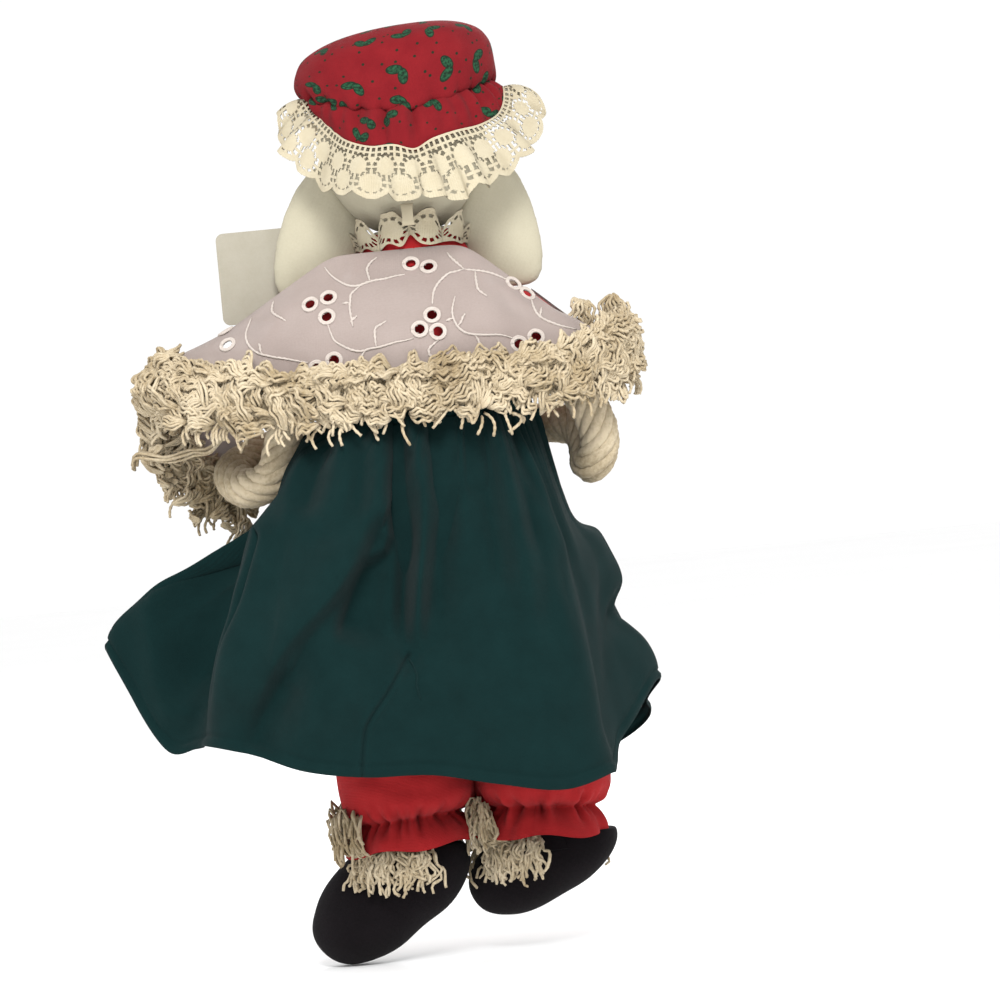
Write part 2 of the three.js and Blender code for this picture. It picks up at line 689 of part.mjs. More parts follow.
// Where the cap's band sits on the head, at a distance outside it.
function bandPoint(angle, out, z) {
  const { a, b } = headAt(CAP_BAND_RISE);
  return point((a + out) * Math.cos(angle), (b + out) * Math.sin(angle), z);
}

const BRIM_TOP = CAP_BAND_RISE;
const ELASTIC_MIDDLE = BRIM_TOP + GAP + CAP_ELASTIC / 2;
const CROWN_FOOT = ELASTIC_MIDDLE + CAP_ELASTIC / 2 + GAP;

function makeCapCrown() {
  const { a } = headAt(CAP_BAND_RISE);
  const belly = CAP_CROWN_RADIUS - a;
  const widest = CROWN_FOOT + CAP_CROWN_HEIGHT * 0.36;
  const apex = CROWN_FOOT + CAP_CROWN_HEIGHT;
  const ring = (out, z, gather) =>
    ringOf(CAP_ROUND, (t) => bandPoint(t, out + gather * Math.cos(CAP_GATHERS * t), z));
  const layer = (wall) => {
    const lower = heights(0, 1, 4).map((s) => {
      const turn = (s * Math.PI) / 2;
      const out = GAP + CLOTH - wall + (belly - GAP - CLOTH) * Math.sin(turn);
      return ring(out, lerp(CROWN_FOOT, widest, 1 - Math.cos(turn)), 0.6 * (1 - s));
    });
    const upper = [0.2, 0.42, 0.64, 0.84].map((s) => {
      const turn = (s * Math.PI) / 2;
      const out = (belly + a - wall) * Math.cos(turn) - a;
      return ring(out, widest + (apex - wall - widest) * Math.sin(turn), 0);
    });
    return [...lower, ...upper];
  };
  return loftSolid([...layer(0).reverse(), ...layer(CLOTH)]);
}

// The brim below the elastic, flared and gathered; down 0 is at the elastic, 1 at its hem.
function brimPoint(angle, down, offset) {
  const drop = roundCap(angle, CAP_BRIM_DROP_BACK, CAP_BRIM_DROP_SIDE, CAP_BRIM_DROP_FRONT);
  const gather = 0.9 * Math.sin(Math.PI * down) * Math.cos(CAP_GATHERS * angle);
  const out = GAP + CLOTH / 2 + CAP_BRIM_REACH * down ** 0.8 + gather * down + offset;
  return bandPoint(angle, out, BRIM_TOP - drop * down + (offset < 0 ? 0 : 0.4 * down));
}

function makeCapBrim() {
  const rows = [0, 0.33, 0.66, 1];
  const outer = rows.map((v) => ringOf(CAP_ROUND, (t) => brimPoint(t, v, CLOTH / 2)));
  const inner = rows.map((v) => ringOf(CAP_ROUND, (t) => brimPoint(t, v, -CLOTH / 2)));
  return sleeveSolid([...outer, ...inner.reverse()]);
}

// The lace starts on the outside of the brim's hem and flares from there.
function lacePoint(angle, share, offset) {
  const start = brimPoint(angle, 0.9, CLOTH / 2 + GAP);
  const fall = roundCap(angle, CAP_LACE_FALL_BACK, CAP_LACE_FALL_SIDE, CAP_LACE_FALL_FRONT);
  const wave = share * 2.4 * Math.cos(CAP_LACE_WAVES * angle);
  const reach = Math.sqrt(Math.max(CAP_LACE_WIDTH ** 2 - (fall * 0.6) ** 2, 1));
  const lean = CAP_LACE_LEAN * share * Math.cos(angle);
  const out = reach * share - lean + offset;
  const outward = point(Math.cos(angle), Math.sin(angle), 0);
  return start.addScaledVector(outward, out).add(point(0, 0, wave - lean - fall * share + offset * 0.7));
}

function makeCapLace() {
  const rows = [0, 0.35, 0.7, 1];
  const outer = rows.map((v) => ringOf(CAP_LACE_WAVES * LACE_POINTS_PER_WAVE, (t) => lacePoint(t, v, LACE_THICKNESS)));
  const inner = rows.map((v) => ringOf(CAP_LACE_WAVES * LACE_POINTS_PER_WAVE, (t) => lacePoint(t, v, 0)));
  return sleeveSolid([...outer, ...inner.reverse()]);
}

function makeCapElastic() {
  const sides = 6;
  const rings = Array.from({ length: sides }, (_, i) => {
    const turn = (i / sides) * TAU;
    const out = GAP + (CAP_ELASTIC / 2) * (1 + Math.cos(turn));
    const z = ELASTIC_MIDDLE + (CAP_ELASTIC / 2) * Math.sin(turn);
    return ringOf(CAP_ROUND, (t) => bandPoint(t, out, z));
  });
  return sleeveSolid(rings);
}

function makeCap() {
  headGroup.add(piece("cap_crown", makeCapCrown(), RED_PRINT));
  headGroup.add(piece("cap_elastic", makeCapElastic(), ELASTIC));
  headGroup.add(piece("cap_brim", makeCapBrim(), RED_PRINT));
  headGroup.add(piece("cap_lace", makeCapLace(), LACE));
}

// Ears: long stuffed lobes that hang beside the head, and the swing tag on the left one

const EAR_ROOT_X = HEAD_HALF_WIDTH + EAR_CLEAR;

// Half widths of an ear along its length: narrow at the root, full below the middle.
function earSection(at) {
  const swell = Math.sin(Math.PI * clamp(at, 0, 1) ** 0.85) ** 0.36;
  const taper = 0.86 + 0.14 * at;
  const wide = Math.max(EAR_HALF_WIDTH * swell * taper, 0.6);
  const deep = Math.max(EAR_HALF_THICKNESS * swell, 0.5);
  return { at, wide, deep };
}

function makeEar() {
  const centres = [0, 0.5, 1].map((t) => point(0, 0, -EAR_LENGTH * t));
  const shares = [0.004, 0.03, 0.1, 0.25, 0.45, 0.65, 0.82, 0.93, 0.98, 0.997];
  return limbSolid(centres, shares.map(earSection), point(1, 0, 0), 16);
}

function makeTag() {
  const outline = new THREE.Shape();
  const right = TAG_WIDTH - TAG_CORNER;
  const top = TAG_HEIGHT - TAG_CORNER;
  outline.absarc(right, top, TAG_CORNER, 0, Math.PI / 2);
  outline.absarc(TAG_CORNER, top, TAG_CORNER, Math.PI / 2, Math.PI);
  outline.absarc(TAG_CORNER, TAG_CORNER, TAG_CORNER, Math.PI, Math.PI * 1.5);
  outline.absarc(right, TAG_CORNER, TAG_CORNER, Math.PI * 1.5, TAU);
  const card = new THREE.ExtrudeGeometry(outline, { depth: TAG_THICKNESS, bevelEnabled: false, curveSegments: 4 });
  card.rotateX(Math.PI / 2);
  const deepest = EAR_HALF_THICKNESS * 0.995 + GAP;
  return card.translate(TAG_START, -deepest, -TAG_TOP_DROP - TAG_HEIGHT);
}

function makeEars() {
  const clearance = headShape(GAP);
  const sides = [["left", 1, EAR_SPREAD_LEFT_DEG], ["right", -1, EAR_SPREAD_RIGHT_DEG]];
  for (const [side, sign, spreadDeg] of sides) {
    const group = new THREE.Group();
    group.position.set(sign * EAR_ROOT_X, 0, -EAR_ROOT_DROP);
    const spread = rad(-sign * spreadDeg);
    const ear = makeEar().rotateY(spread);
    const headThere = moved(clearance, -sign * EAR_ROOT_X, 0, EAR_ROOT_DROP);
    group.add(piece(`ear_${side}`, cut(ear, headThere), MUSLIN));
    if (side === "left") group.add(piece("swing_tag", makeTag(), CARD));
    headGroup.add(group);
  }
}

// Rope arms: one thick rope each, bent at the elbow, bound and frayed at the hand

// How far out the bodice's side is where the rope is sewn on.
const SHOULDER_FACE = torsoAt(SHOULDER_Z - ROPE_DIAMETER * 0.6).a + CLOTH + 2 * GAP;

function armCentres(sign, elbowOut) {
  const hand = -SHOULDER_X * 0.62;
  return [
    point(-sign * (SHOULDER_X - SHOULDER_FACE + GAP), 0, 1.5),
    point(sign * elbowOut * 0.5, 1, -ELBOW_DROP * 0.22),
    point(sign * elbowOut, 2, -ELBOW_DROP * 0.75),
    point(sign * elbowOut * 0.9, -9, -ELBOW_DROP),
    point(sign * elbowOut * 0.5, -FOREARM_REACH * 0.62, -ELBOW_DROP + FOREARM_RISE * 0.4),
    point(sign * hand, -FOREARM_REACH, -ELBOW_DROP + FOREARM_RISE),
  ];
}

function roundSections(radius, shares) {
  return shares.map((at) => ({ at, wide: radius, deep: radius }));
}

function makeArms() {
  for (const [side, sign, elbowOut] of [["left", 1, ELBOW_OUT_LEFT], ["right", -1, ELBOW_OUT_RIGHT]]) {
    const group = new THREE.Group();
    group.position.set(sign * SHOULDER_X, SHOULDER_Y, SHOULDER_Z);
    const centres = armCentres(sign, elbowOut);
    const radius = ROPE_DIAMETER / 2;
    const curve = new THREE.CatmullRomCurve3(centres, false, "centripetal");
    const total = curve.getLength();
    const handStart = 1 - HAND_LENGTH / total;
    const bindStart = handStart - BINDING_LENGTH / total;
    const hint = point(0.8 * sign, -0.6, 0);
    const slack = GAP / total;
    const ropeEnd = bindStart - slack;
    const ropeShares = heights(0, ropeEnd, 15);
    const rope = limbSolid(centres, roundSections(radius, ropeShares), hint, 10);
    const beyond = new THREE.BoxGeometry(ROPE_DIAMETER, ROPE_DIAMETER * 2, ROPE_DIAMETER * 3);
    beyond.translate(-sign * (SHOULDER_X - SHOULDER_FACE + ROPE_DIAMETER / 2), 0, 0);
    group.add(piece(`arm_${side}`, cut(rope, beyond), YARN));
    const bindShares = [bindStart, (bindStart + handStart) / 2, handStart - slack];
    const waist = radius - BINDING_THICKNESS;
    group.add(piece(`hand_binding_${side}`, limbSolid(centres, roundSections(waist, bindShares), hint, 10), ELASTIC));
    const handShares = heights(handStart, 1, 5);
    const tuft = handShares.map((at, i) => {
      const wide = radius * (0.75 + 0.5 * Math.sin((i / 4) * Math.PI * 0.75));
      return { at, wide, deep: wide };
    });
    group.add(piece(`hand_${side}`, limbSolid(centres, tuft, hint, 10), YARN));
    doll.add(group);
  }
}

// Legs: stuffed legs that hang from the front of the seat, in bloomers and boots

const HIP_Z = SEAT_CARD - HIP_RADIUS;

function legRadius(down) {
  const calf = smoothstep(down, HIP_RADIUS, LEG_LENGTH * 0.55);
  const ankle = smoothstep(down, LEG_LENGTH * 0.6, LEG_LENGTH);
  return lerp(lerp(HIP_RADIUS * 0.97, LEG_CALF_RADIUS, calf), ANKLE_RADIUS, ankle);
}

function makeLeg() {
  const ball = [0.12, 0.35, 0.6, 0.82].map((s) => {
    const turn = (s * Math.PI) / 2;
    return ellipseRing(HIP_RADIUS * Math.sin(turn), HIP_RADIUS * Math.sin(turn), HIP_RADIUS * Math.cos(turn), 0, 16);
  });
  const shank = heights(0, LEG_LENGTH, 8).map((down) => {
    const radius = down === 0 ? HIP_RADIUS : legRadius(down);
    return ellipseRing(radius, radius, -down, 0, 16);
  });
  return loftSolid([...ball, ...shank]);
}

// Bloomer leg: puffed above the elastic, with a frill below it.
function makeBloomer() {
  const gather = LEG_LENGTH - BLOOMER_GATHER_RISE;
  const inside = (down) => legRadius(Math.min(down, LEG_LENGTH)) + GAP;
  const room = BLOOMER_ELASTIC + GAP;
  const ring = (radius, down, ripple) =>
    ringOf(ROUND, (t) => {
      const r = radius + ripple * Math.cos((ROUND / 3) * t);
      return point(r * Math.cos(t), r * Math.sin(t), -down);
    });
  const frillEnd = gather + BLOOMER_FRILL;
  const waist = inside(gather) + BLOOMER_GATHER_WALL;
  const frillRadius = waist + BLOOMER_FRILL_REACH;
  const puff = heights(BLOOMER_TOP_DROP, gather, 8).map((down) => {
    const share = (down - BLOOMER_TOP_DROP) / (gather - BLOOMER_TOP_DROP);
    const base = lerp(BLOOMER_TOP_RADIUS, waist, smoothstep(share, 0.75, 1));
    const swell = (BLOOMER_RADIUS - BLOOMER_TOP_RADIUS) * Math.sin(Math.PI * share ** 1.6) ** 0.7;
    return ring(base + swell, down, 0.7 * share);
  });
  const frill = [ring(frillRadius - 1.5, lerp(gather, frillEnd, 0.6), 1.1), ring(frillRadius, frillEnd, 1.4)];
  const underFrill = ring(frillRadius - CLOTH, frillEnd, 1.4);
  const pocketLow = ring(inside(gather) + room, gather + BLOOMER_ELASTIC / 2 + GAP, 0);
  const pocketHigh = ring(inside(gather) + room, gather - BLOOMER_ELASTIC / 2 - GAP, 0);
  const lining = [gather - BLOOMER_ELASTIC - GAP, lerp(BLOOMER_TOP_DROP, gather, 0.5), BLOOMER_TOP_DROP];
  const bore = lining.map((down) => ring(inside(down) + CLOTH, down, 0));
  return sleeveSolid([...puff, ...frill, underFrill, pocketLow, pocketHigh, ...bore]);
}

function makeBloomerElastic() {
  const gather = LEG_LENGTH - BLOOMER_GATHER_RISE;
  const radius = legRadius(gather) + GAP + BLOOMER_ELASTIC / 2;
  const ring = new THREE.TorusGeometry(radius, BLOOMER_ELASTIC / 2, 6, 24);
  return ring.translate(0, 0, -gather);
}

const ANKLE = point(0, 0, -LEG_LENGTH);
const BOOT_TOP = -(LEG_LENGTH + GAP);

// Everything above a height, as a block to cut with.
function above(z) {
  const size = 4 * LEG_LENGTH;
  return new THREE.BoxGeometry(size, size, size).translate(0, 0, z + size / 2);
}

// The full rounded foot of a boot, from its heel to its toe, cut off at a height.
function makeFoot({ heel, toe, half }, offset, top) {
  const start = ANKLE.clone().add(point(...heel));
  const end = ANKLE.clone().add(point(...toe));
  const along = end.clone().sub(start).normalize();
  start.addScaledVector(along, -offset);
  end.addScaledVector(along, offset);
  const wide = half + offset;
  const deep = half * BOOT_FOOT_THICKNESS + offset;
  const shape = [
    [0, 0.2], [0.02, 0.42], [0.08, 0.7], [0.18, 0.9], [0.32, 1], [0.5, 1],
    [0.66, 0.97], [0.8, 0.84], [0.9, 0.65], [0.96, 0.45], [0.99, 0.25], [1, 0.12],
  ];
  const sections = shape.map(([at, share]) => ({ at, wide: wide * share, deep: deep * share }));
  const middle = start.clone().lerp(end, 0.5);
  return cut(limbSolid([start, middle, end], sections, point(0.5, 0, 1), 16), above(top));
}

function makeShaft(offset) {
  const radius = BOOT_SHAFT_RADIUS + offset;
  const low = BOOT_TOP - BOOT_SHAFT_HEIGHT;
  return loftSolid([BOOT_TOP, low].map((z) => ellipseRing(radius, radius, z, 0, 20)));
}

// Boot: a stuffed shaft and a full rounded foot that points along its own line.
function makeBoot(foot, offset) {
  return join(makeFoot(foot, offset, BOOT_TOP - BOOT_FOOT_DROP + offset), makeShaft(offset));
}

// A ruff of fringe that lies over the top of the foot, round the shaft.
function makeCuff(foot) {
  const rings = [BOOT_TOP - CUFF_DROP, BOOT_TOP - CUFF_HEIGHT].map((z) => ellipseRing(CUFF_RADIUS, CUFF_RADIUS, z));
  const around = loftSolid(rings);
  const full = makeFoot(foot, CUFF_DEPTH, BOOT_TOP - CUFF_DROP);
  return cut(common(around, full), makeBoot(foot, GAP));
}

function makeLegs() {
  const leftFoot = { heel: BOOT_HEEL_LEFT, toe: BOOT_TOE_LEFT, half: BOOT_HALF_WIDTH_LEFT };
  const rightFoot = { heel: BOOT_HEEL_RIGHT, toe: BOOT_TOE_RIGHT, half: BOOT_HALF_WIDTH_RIGHT };
  for (const [side, sign, foot] of [["left", 1, leftFoot], ["right", -1, rightFoot]]) {
    const group = new THREE.Group();
    group.position.set(LEG_OFFSET + (sign * LEG_SPACING) / 2, HIP_Y, HIP_Z);
    group.add(piece(`leg_${side}`, makeLeg(), MUSLIN));
    group.add(piece(`bloomer_${side}`, makeBloomer(), RED_CLOTH));
    group.add(piece(`bloomer_elastic_${side}`, makeBloomerElastic(), ELASTIC));
    group.add(piece(`boot_${side}`, makeBoot(foot, 0), BLACK_CLOTH));
    group.add(piece(`boot_cuff_${side}`, makeCuff(foot), YARN));
    doll.add(group);
  }
}

makeTorso();
makeDress();
makeCollar();
makeStole();
makeHead();
makeCap();
makeEars();
makeArms();
makeLegs();

export default doll;
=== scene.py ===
"""Looks of a stuffed cloth bunny that sits on a shelf edge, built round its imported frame.

Lengths in this script are millimetres until a mesh is made; Blender's own values are metres.
The doll faces -Y, its own left is +X, and the photograph's camera is behind it, at +Y.
"""

import math

import bpy
import numpy as np
from mathutils import Matrix, Vector
from mathutils.bvhtree import BVHTree


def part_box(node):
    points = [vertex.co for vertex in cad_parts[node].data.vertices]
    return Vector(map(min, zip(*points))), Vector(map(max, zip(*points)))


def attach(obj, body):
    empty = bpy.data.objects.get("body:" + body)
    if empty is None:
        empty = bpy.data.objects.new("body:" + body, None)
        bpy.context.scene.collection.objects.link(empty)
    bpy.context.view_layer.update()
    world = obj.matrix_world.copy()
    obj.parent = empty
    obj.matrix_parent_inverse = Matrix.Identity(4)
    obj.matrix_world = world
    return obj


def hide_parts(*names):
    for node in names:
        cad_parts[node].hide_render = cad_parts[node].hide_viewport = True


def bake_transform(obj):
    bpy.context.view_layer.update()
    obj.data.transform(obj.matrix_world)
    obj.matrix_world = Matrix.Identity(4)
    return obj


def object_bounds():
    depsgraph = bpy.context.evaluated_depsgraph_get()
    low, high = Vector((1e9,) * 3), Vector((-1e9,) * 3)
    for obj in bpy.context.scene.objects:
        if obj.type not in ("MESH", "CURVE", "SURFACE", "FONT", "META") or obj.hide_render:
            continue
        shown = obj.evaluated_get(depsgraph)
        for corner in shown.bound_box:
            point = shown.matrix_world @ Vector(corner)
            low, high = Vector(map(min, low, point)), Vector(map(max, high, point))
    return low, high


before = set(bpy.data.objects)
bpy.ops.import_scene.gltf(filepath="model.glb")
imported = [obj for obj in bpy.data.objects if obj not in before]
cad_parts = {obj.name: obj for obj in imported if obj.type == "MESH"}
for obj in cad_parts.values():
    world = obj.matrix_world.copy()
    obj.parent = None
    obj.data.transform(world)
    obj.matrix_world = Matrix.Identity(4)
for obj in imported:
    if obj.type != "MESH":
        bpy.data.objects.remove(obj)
CAD_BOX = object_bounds()

MM = 0.001
TAU = 2 * math.pi

# Camera: the photograph is 1000 pixels square and the doll leans in it
PIXEL = 0.4  # millimetres in the doll's plane for one pixel
AIM = (-25.4, 21.7)  # the doll's X and Z at the middle of the photograph
ROLL = math.radians(5.5)
CAMERA_DISTANCE = 1.6

# Driving dimensions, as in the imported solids
HEAD_Y = -2
HEAD_Z = 169
HEAD_HALF_DEPTH = 36
HEAD_HALF_HEIGHT = 39
BAND_Z = 183
BAND_HALF_WIDTH = 31.7
BAND_HALF_DEPTH = 33.6
CAP_LACE_WIDTH = 22
ROPE_RADIUS = 8
SHOULDER = (44, 2, 88)
HIP = {"left": (23, -21, -9), "right": (-31, -21, -9)}
YARN_RADIUS = 0.6
COTTON = 0.7  # thickness of the cloth
LACE_THICKNESS = 0.4
LAWN = 0.3  # thickness of the stole

# Sides of a strand, its plies, their depth and how they turn in a millimetre
YARN_LAY = (6, 2, 0.2, 2.6)
FLOSS_LAY = (8, 2, 0.2, 4.0)
STRAND_LAY = (18, 6, 0.09, -1.2)

SIDES = {"left": 1, "right": -1}  # with the sign of X there


# Numbers


def smoothstep(x, low, high):
    t = np.clip((np.asarray(x, float) - low) / (high - low), 0, 1)
    return t * t * (3 - 2 * t)


def mix(a, b, t):
    return a + (b - a) * t


def ripple(x, y, seed, size, waves=7):
    """A smooth random field, about -1 to 1, with features of the given size."""
    rng = np.random.default_rng(seed)
    total = 0.0
    for _ in range(waves):
        angle, phase = rng.uniform(0, TAU, 2)
        rate = rng.uniform(0.6, 1.5) * TAU / size / 2
        total = total + np.sin((x * np.cos(angle) + y * np.sin(angle)) * rate + phase)
    return total / waves**0.5


def round_ripple(angle, seed, low, high, waves=6):
    """A random wave round a ring: whole numbers of waves between low and high."""
    rng = np.random.default_rng(seed)
    total = 0.0
    for count in rng.integers(low, high + 1, waves):
        total = total + np.sin(count * angle + rng.uniform(0, TAU))
    return total / waves**0.5


def sample(values, run, at):
    """Rows of values at places along a run, by straight lines between them."""
    return np.stack([np.interp(at, run, values[:, k]) for k in range(values.shape[1])], -1)


def spaced(points, samples):
    """Points along a line, evenly apart."""
    run = np.concatenate([[0], np.cumsum(np.linalg.norm(np.diff(points, axis=0), axis=1))])
    return sample(points, run, np.linspace(0, run[-1], samples))


def catmull(points, samples):
    """A smooth curve through points, evenly spaced along its length."""
    p = np.asarray(points, float)
    p = np.vstack([2 * p[0] - p[1], p, 2 * p[-1] - p[-2]])
    t = np.linspace(0, 1, 16, endpoint=False)[:, None]
    runs = []
    for a, b, c, d in zip(p[:-3], p[1:-2], p[2:-1], p[3:]):
        bend = (2 * a - 5 * b + 4 * c - d) * t**2 + (3 * b - a - 3 * c + d) * t**3
        runs.append(0.5 * (2 * b + (c - a) * t + bend))
    return spaced(np.vstack(runs + [p[-2:-1]]), samples)


def around(radius, angle, z):
    return np.stack([radius * np.cos(angle), radius * np.sin(angle), z], -1)


def node_box(node):
    """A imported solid's low and high corners in millimetres."""
    return [np.array(corner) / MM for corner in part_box(node)]


def spot(px, py, y):
    """The doll's point behind a pixel of the photograph, at a depth y."""
    near = 1 - y * MM / CAMERA_DISTANCE
    right = (px - 500) * PIXEL * near
    up = (500 - py) * PIXEL * near
    x = AIM[0] - right * math.cos(ROLL) - up * math.sin(ROLL)
    z = AIM[1] - right * math.sin(ROLL) + up * math.cos(ROLL)
    return x, y, z


# Meshes


def build(name, points, face_groups, material, uv=None, normals=None):
    """A mesh object from millimetre points and groups of faces; uv has each corner's place in the cloth."""
    points = np.asarray(points, float)
    totals = np.concatenate([np.full(len(g), g.shape[1]) for g in face_groups])
    corners = np.concatenate([np.asarray(g).ravel() for g in face_groups])
    mesh = bpy.data.meshes.new(name)
    mesh.vertices.add(len(points))
    mesh.vertices.foreach_set("co", (points * MM).ravel())
    mesh.loops.add(len(corners))
    mesh.loops.foreach_set("vertex_index", corners.astype(np.int32))
    mesh.polygons.add(len(totals))
    mesh.polygons.foreach_set("loop_start", (np.cumsum(totals) - totals).astype(np.int32))
    mesh.polygons.foreach_set("use_smooth", np.full(len(totals), True))
    mesh.update(calc_edges=True)
    if uv is not None:
        layer = mesh.uv_layers.new(name="cloth")
        layer.data.foreach_set("uv", np.asarray(uv, float).ravel())
    if normals is not None:
        mesh.normals_split_custom_set_from_vertices(normals.tolist())
    mesh.materials.append(material)
    piece = bpy.data.objects.new(name, mesh)
    bpy.context.scene.collection.objects.link(piece)
    return piece


def grid_faces(rows, columns, wrap=False):
    r = np.arange(rows - 1)[:, None]
    c = np.arange(columns if wrap else columns - 1)[None, :]
    a = r * columns + c
    b = r * columns + (c + 1) % columns
    return np.stack([a, b, b + columns, a + columns], axis=-1).reshape(-1, 4)


def unit(vectors):
    return vectors / (np.linalg.norm(vectors, axis=-1, keepdims=True) + 1e-9)


def grid_normals(points):
    return unit(np.cross(np.gradient(points, axis=1), np.gradient(points, axis=0)))


def ring_normals(points):
    """Normals of a closed ring's grid, whose last column repeats its first."""
    ring = points[:, :-1]
    along = np.roll(ring, -1, axis=1) - np.roll(ring, 1, axis=1)
    normals = unit(np.cross(along, np.gradient(ring, axis=0)))
    normals = np.concatenate([normals, normals[:, :1]], axis=1)
    return outward(points, normals)


def outward(points, normals):
    away = points - points.mean(axis=(0, 1))
    return normals if np.sum(normals * away) > 0 else -normals


def cloth(name, points, material, thickness, closed=False, keep=None, uv=None, normals=None):
    """A sheet of cloth with two faces and a rim, from a grid of points.

    A closed sheet's last column repeats its first. keep marks the quads that stay, so that
    lace has holes.
    """
    rows, columns = points.shape[:2]
    count = rows * columns
    if normals is None:
        normals = ring_normals(points) if closed else outward(points, grid_normals(points))
    faces = grid_faces(rows, columns)
    flat = points.reshape(-1, 3)
    turning = np.cross(flat[faces[:, 1]] - flat[faces[:, 0]], flat[faces[:, 3]] - flat[faces[:, 0]])
    if np.sum(turning * normals.reshape(-1, 3)[faces[:, 0]]) < 0:
        faces = faces[:, ::-1]
    if keep is not None:
        faces = faces[np.asarray(keep).ravel()]
    edges = np.stack([faces, np.roll(faces, -1, axis=1)], axis=-1).reshape(-1, 2)
    rim = edges[~np.isin(edges[:, 0] * count + edges[:, 1], edges[:, 1] * count + edges[:, 0])]
    for column in (0, columns - 1) if closed else ():
        rim = rim[~np.all(rim % columns == column, axis=1)]
    sides = np.stack([rim[:, 1], rim[:, 0], rim[:, 0] + count, rim[:, 1] + count], axis=1)
    faces = np.concatenate([faces, faces[:, ::-1] + count, sides])
    if uv is not None:
        uv = np.concatenate([uv.reshape(-1, 2)] * 2)[faces]
    if closed:
        faces = np.where(faces % columns == columns - 1, faces - columns + 1, faces)
    used, faces = np.unique(faces, return_inverse=True)
    shading = normals.reshape(-1, 3)
    step = shading * thickness / 2
    both = np.concatenate([flat + step, flat - step])[used]
    shading = np.concatenate([shading, -shading])[used]
    return build(name, both, [faces.reshape(-1, 4)], material, uv, shading)


def frames(paths):
    """Unit directions along and across each path (n, m, 3), without sudden turns."""
    along = unit(np.gradient(paths, axis=1))
    normal = np.empty_like(paths)
    steep = np.abs(along[:, :1, 2:]) < 0.8
    helper = np.where(steep, [0.0, 0.0, 1.0], [1.0, 0.0, 0.0])[:, 0]
    for k in range(paths.shape[1]):
        start = helper if k == 0 else normal[:, k - 1]
        flat = start - along[:, k] * np.sum(start * along[:, k], axis=1, keepdims=True)
        normal[:, k] = unit(flat)
    return along, normal, np.cross(along, normal)


def tubes(name, paths, radius, material, sides=6, lobes=0, lobe_depth=0.0, twist=0.0, taper=False):
    """Round strands along paths (n, m, 3); lobes and twist give them the lay of plied yarn."""
    paths = np.asarray(paths, float)
    count, steps = paths.shape[:2]
    _, normal, other = frames(paths)
    step = np.linalg.norm(np.diff(paths, axis=1), axis=2)
    run = np.concatenate([np.zeros((count, 1)), np.cumsum(step, axis=1)], axis=1)
    turn = np.arange(sides) / sides * TAU
    size = np.broadcast_to(np.asarray(radius, float).reshape(-1, 1), (count, steps))[:, :, None]
    if taper:
        size = size * np.sin(np.linspace(0.12, math.pi - 0.12, steps))[None, :, None] ** 0.4
    size = size * (1 + lobe_depth * np.cos(lobes * turn - twist * run[:, :, None]))
    across = normal[:, :, None] * (size * np.cos(turn))[..., None]
    ring = across + other[:, :, None] * (size * np.sin(turn))[..., None]
    points = (paths[:, :, None] + ring).reshape(-1, 3)
    quads = grid_faces(steps, sides, wrap=True)
    first = np.arange(count)[:, None] * steps * sides
    body = (quads[None] + first[:, :, None]).reshape(-1, 4)
    starts = first + np.arange(sides)[::-1]
    ends = first + (steps - 1) * sides + np.arange(sides)
    return build(name, points, [body, starts, ends], material)


def joined(name, pieces):
    """One object from several."""
    with bpy.context.temp_override(active_object=pieces[0], selected_editable_objects=pieces):
        bpy.ops.object.join()
    pieces[0].name = name
    return pieces[0]


def rounded_mesh(name, node, material, voxel, smoothing):
    """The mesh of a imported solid, made anew in small even faces and smoothed."""
    form = bpy.data.objects.new(name + "_form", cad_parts[node].data.copy())
    bpy.context.scene.collection.objects.link(form)
    remesh = form.modifiers.new("remesh", "REMESH")
    remesh.mode = "VOXEL"
    remesh.voxel_size = voxel * MM
    smooth = form.modifiers.new("smooth", "SMOOTH")
    smooth.factor = 0.5
    smooth.iterations = smoothing
    bpy.context.view_layer.update()
    mesh = bpy.data.meshes.new_from_object(form.evaluated_get(bpy.context.evaluated_depsgraph_get()))
    bpy.data.objects.remove(form)
    mesh.name = name
    mesh.materials.clear()
    mesh.materials.append(material)
    mesh.polygons.foreach_set("use_smooth", np.full(len(mesh.polygons), True))
    mesh.update()
    return mesh


def vertex_values(piece, kind):
    flat = np.empty(len(piece.data.vertices) * 3)
    piece.data.vertices.foreach_get(kind, flat)
    return flat.reshape(-1, 3)


def move_vertices(piece, points):
    piece.data.vertices.foreach_set("co", (points * MM).ravel())
    piece.data.update()


LUMP_SIZE = 26


def stuffed(name, node, material, voxel, smoothing, lump, seed):
    """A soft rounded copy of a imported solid, with the slight lumps of its filling."""
    piece = bpy.data.objects.new(name, rounded_mesh(name, node, material, voxel, smoothing))
    bpy.context.scene.collection.objects.link(piece)
    points = vertex_values(piece, "co") / MM
    swell = ripple(points[:, 0], points[:, 2] + points[:, 1], seed=seed, size=LUMP_SIZE)
    move_vertices(piece, points + vertex_values(piece, "normal") * (swell * lump)[:, None])
    rounding = piece.modifiers.new("rounding", "SUBSURF")
    rounding.levels = rounding.render_levels = 1
    return piece


def place(piece, body, slot, *nodes):
    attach(piece, body)
    if nodes:
        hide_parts(*nodes)
    return piece


# Materials


def srgb(red, green, blue):
    """An 8-bit sRGB colour as linear values."""
    parts = [c / 255 for c in (red, green, blue)]
    return (*[p / 12.92 if p <= 0.04 else ((p + 0.055) / 1.055) ** 2.4 for p in parts], 1.0)


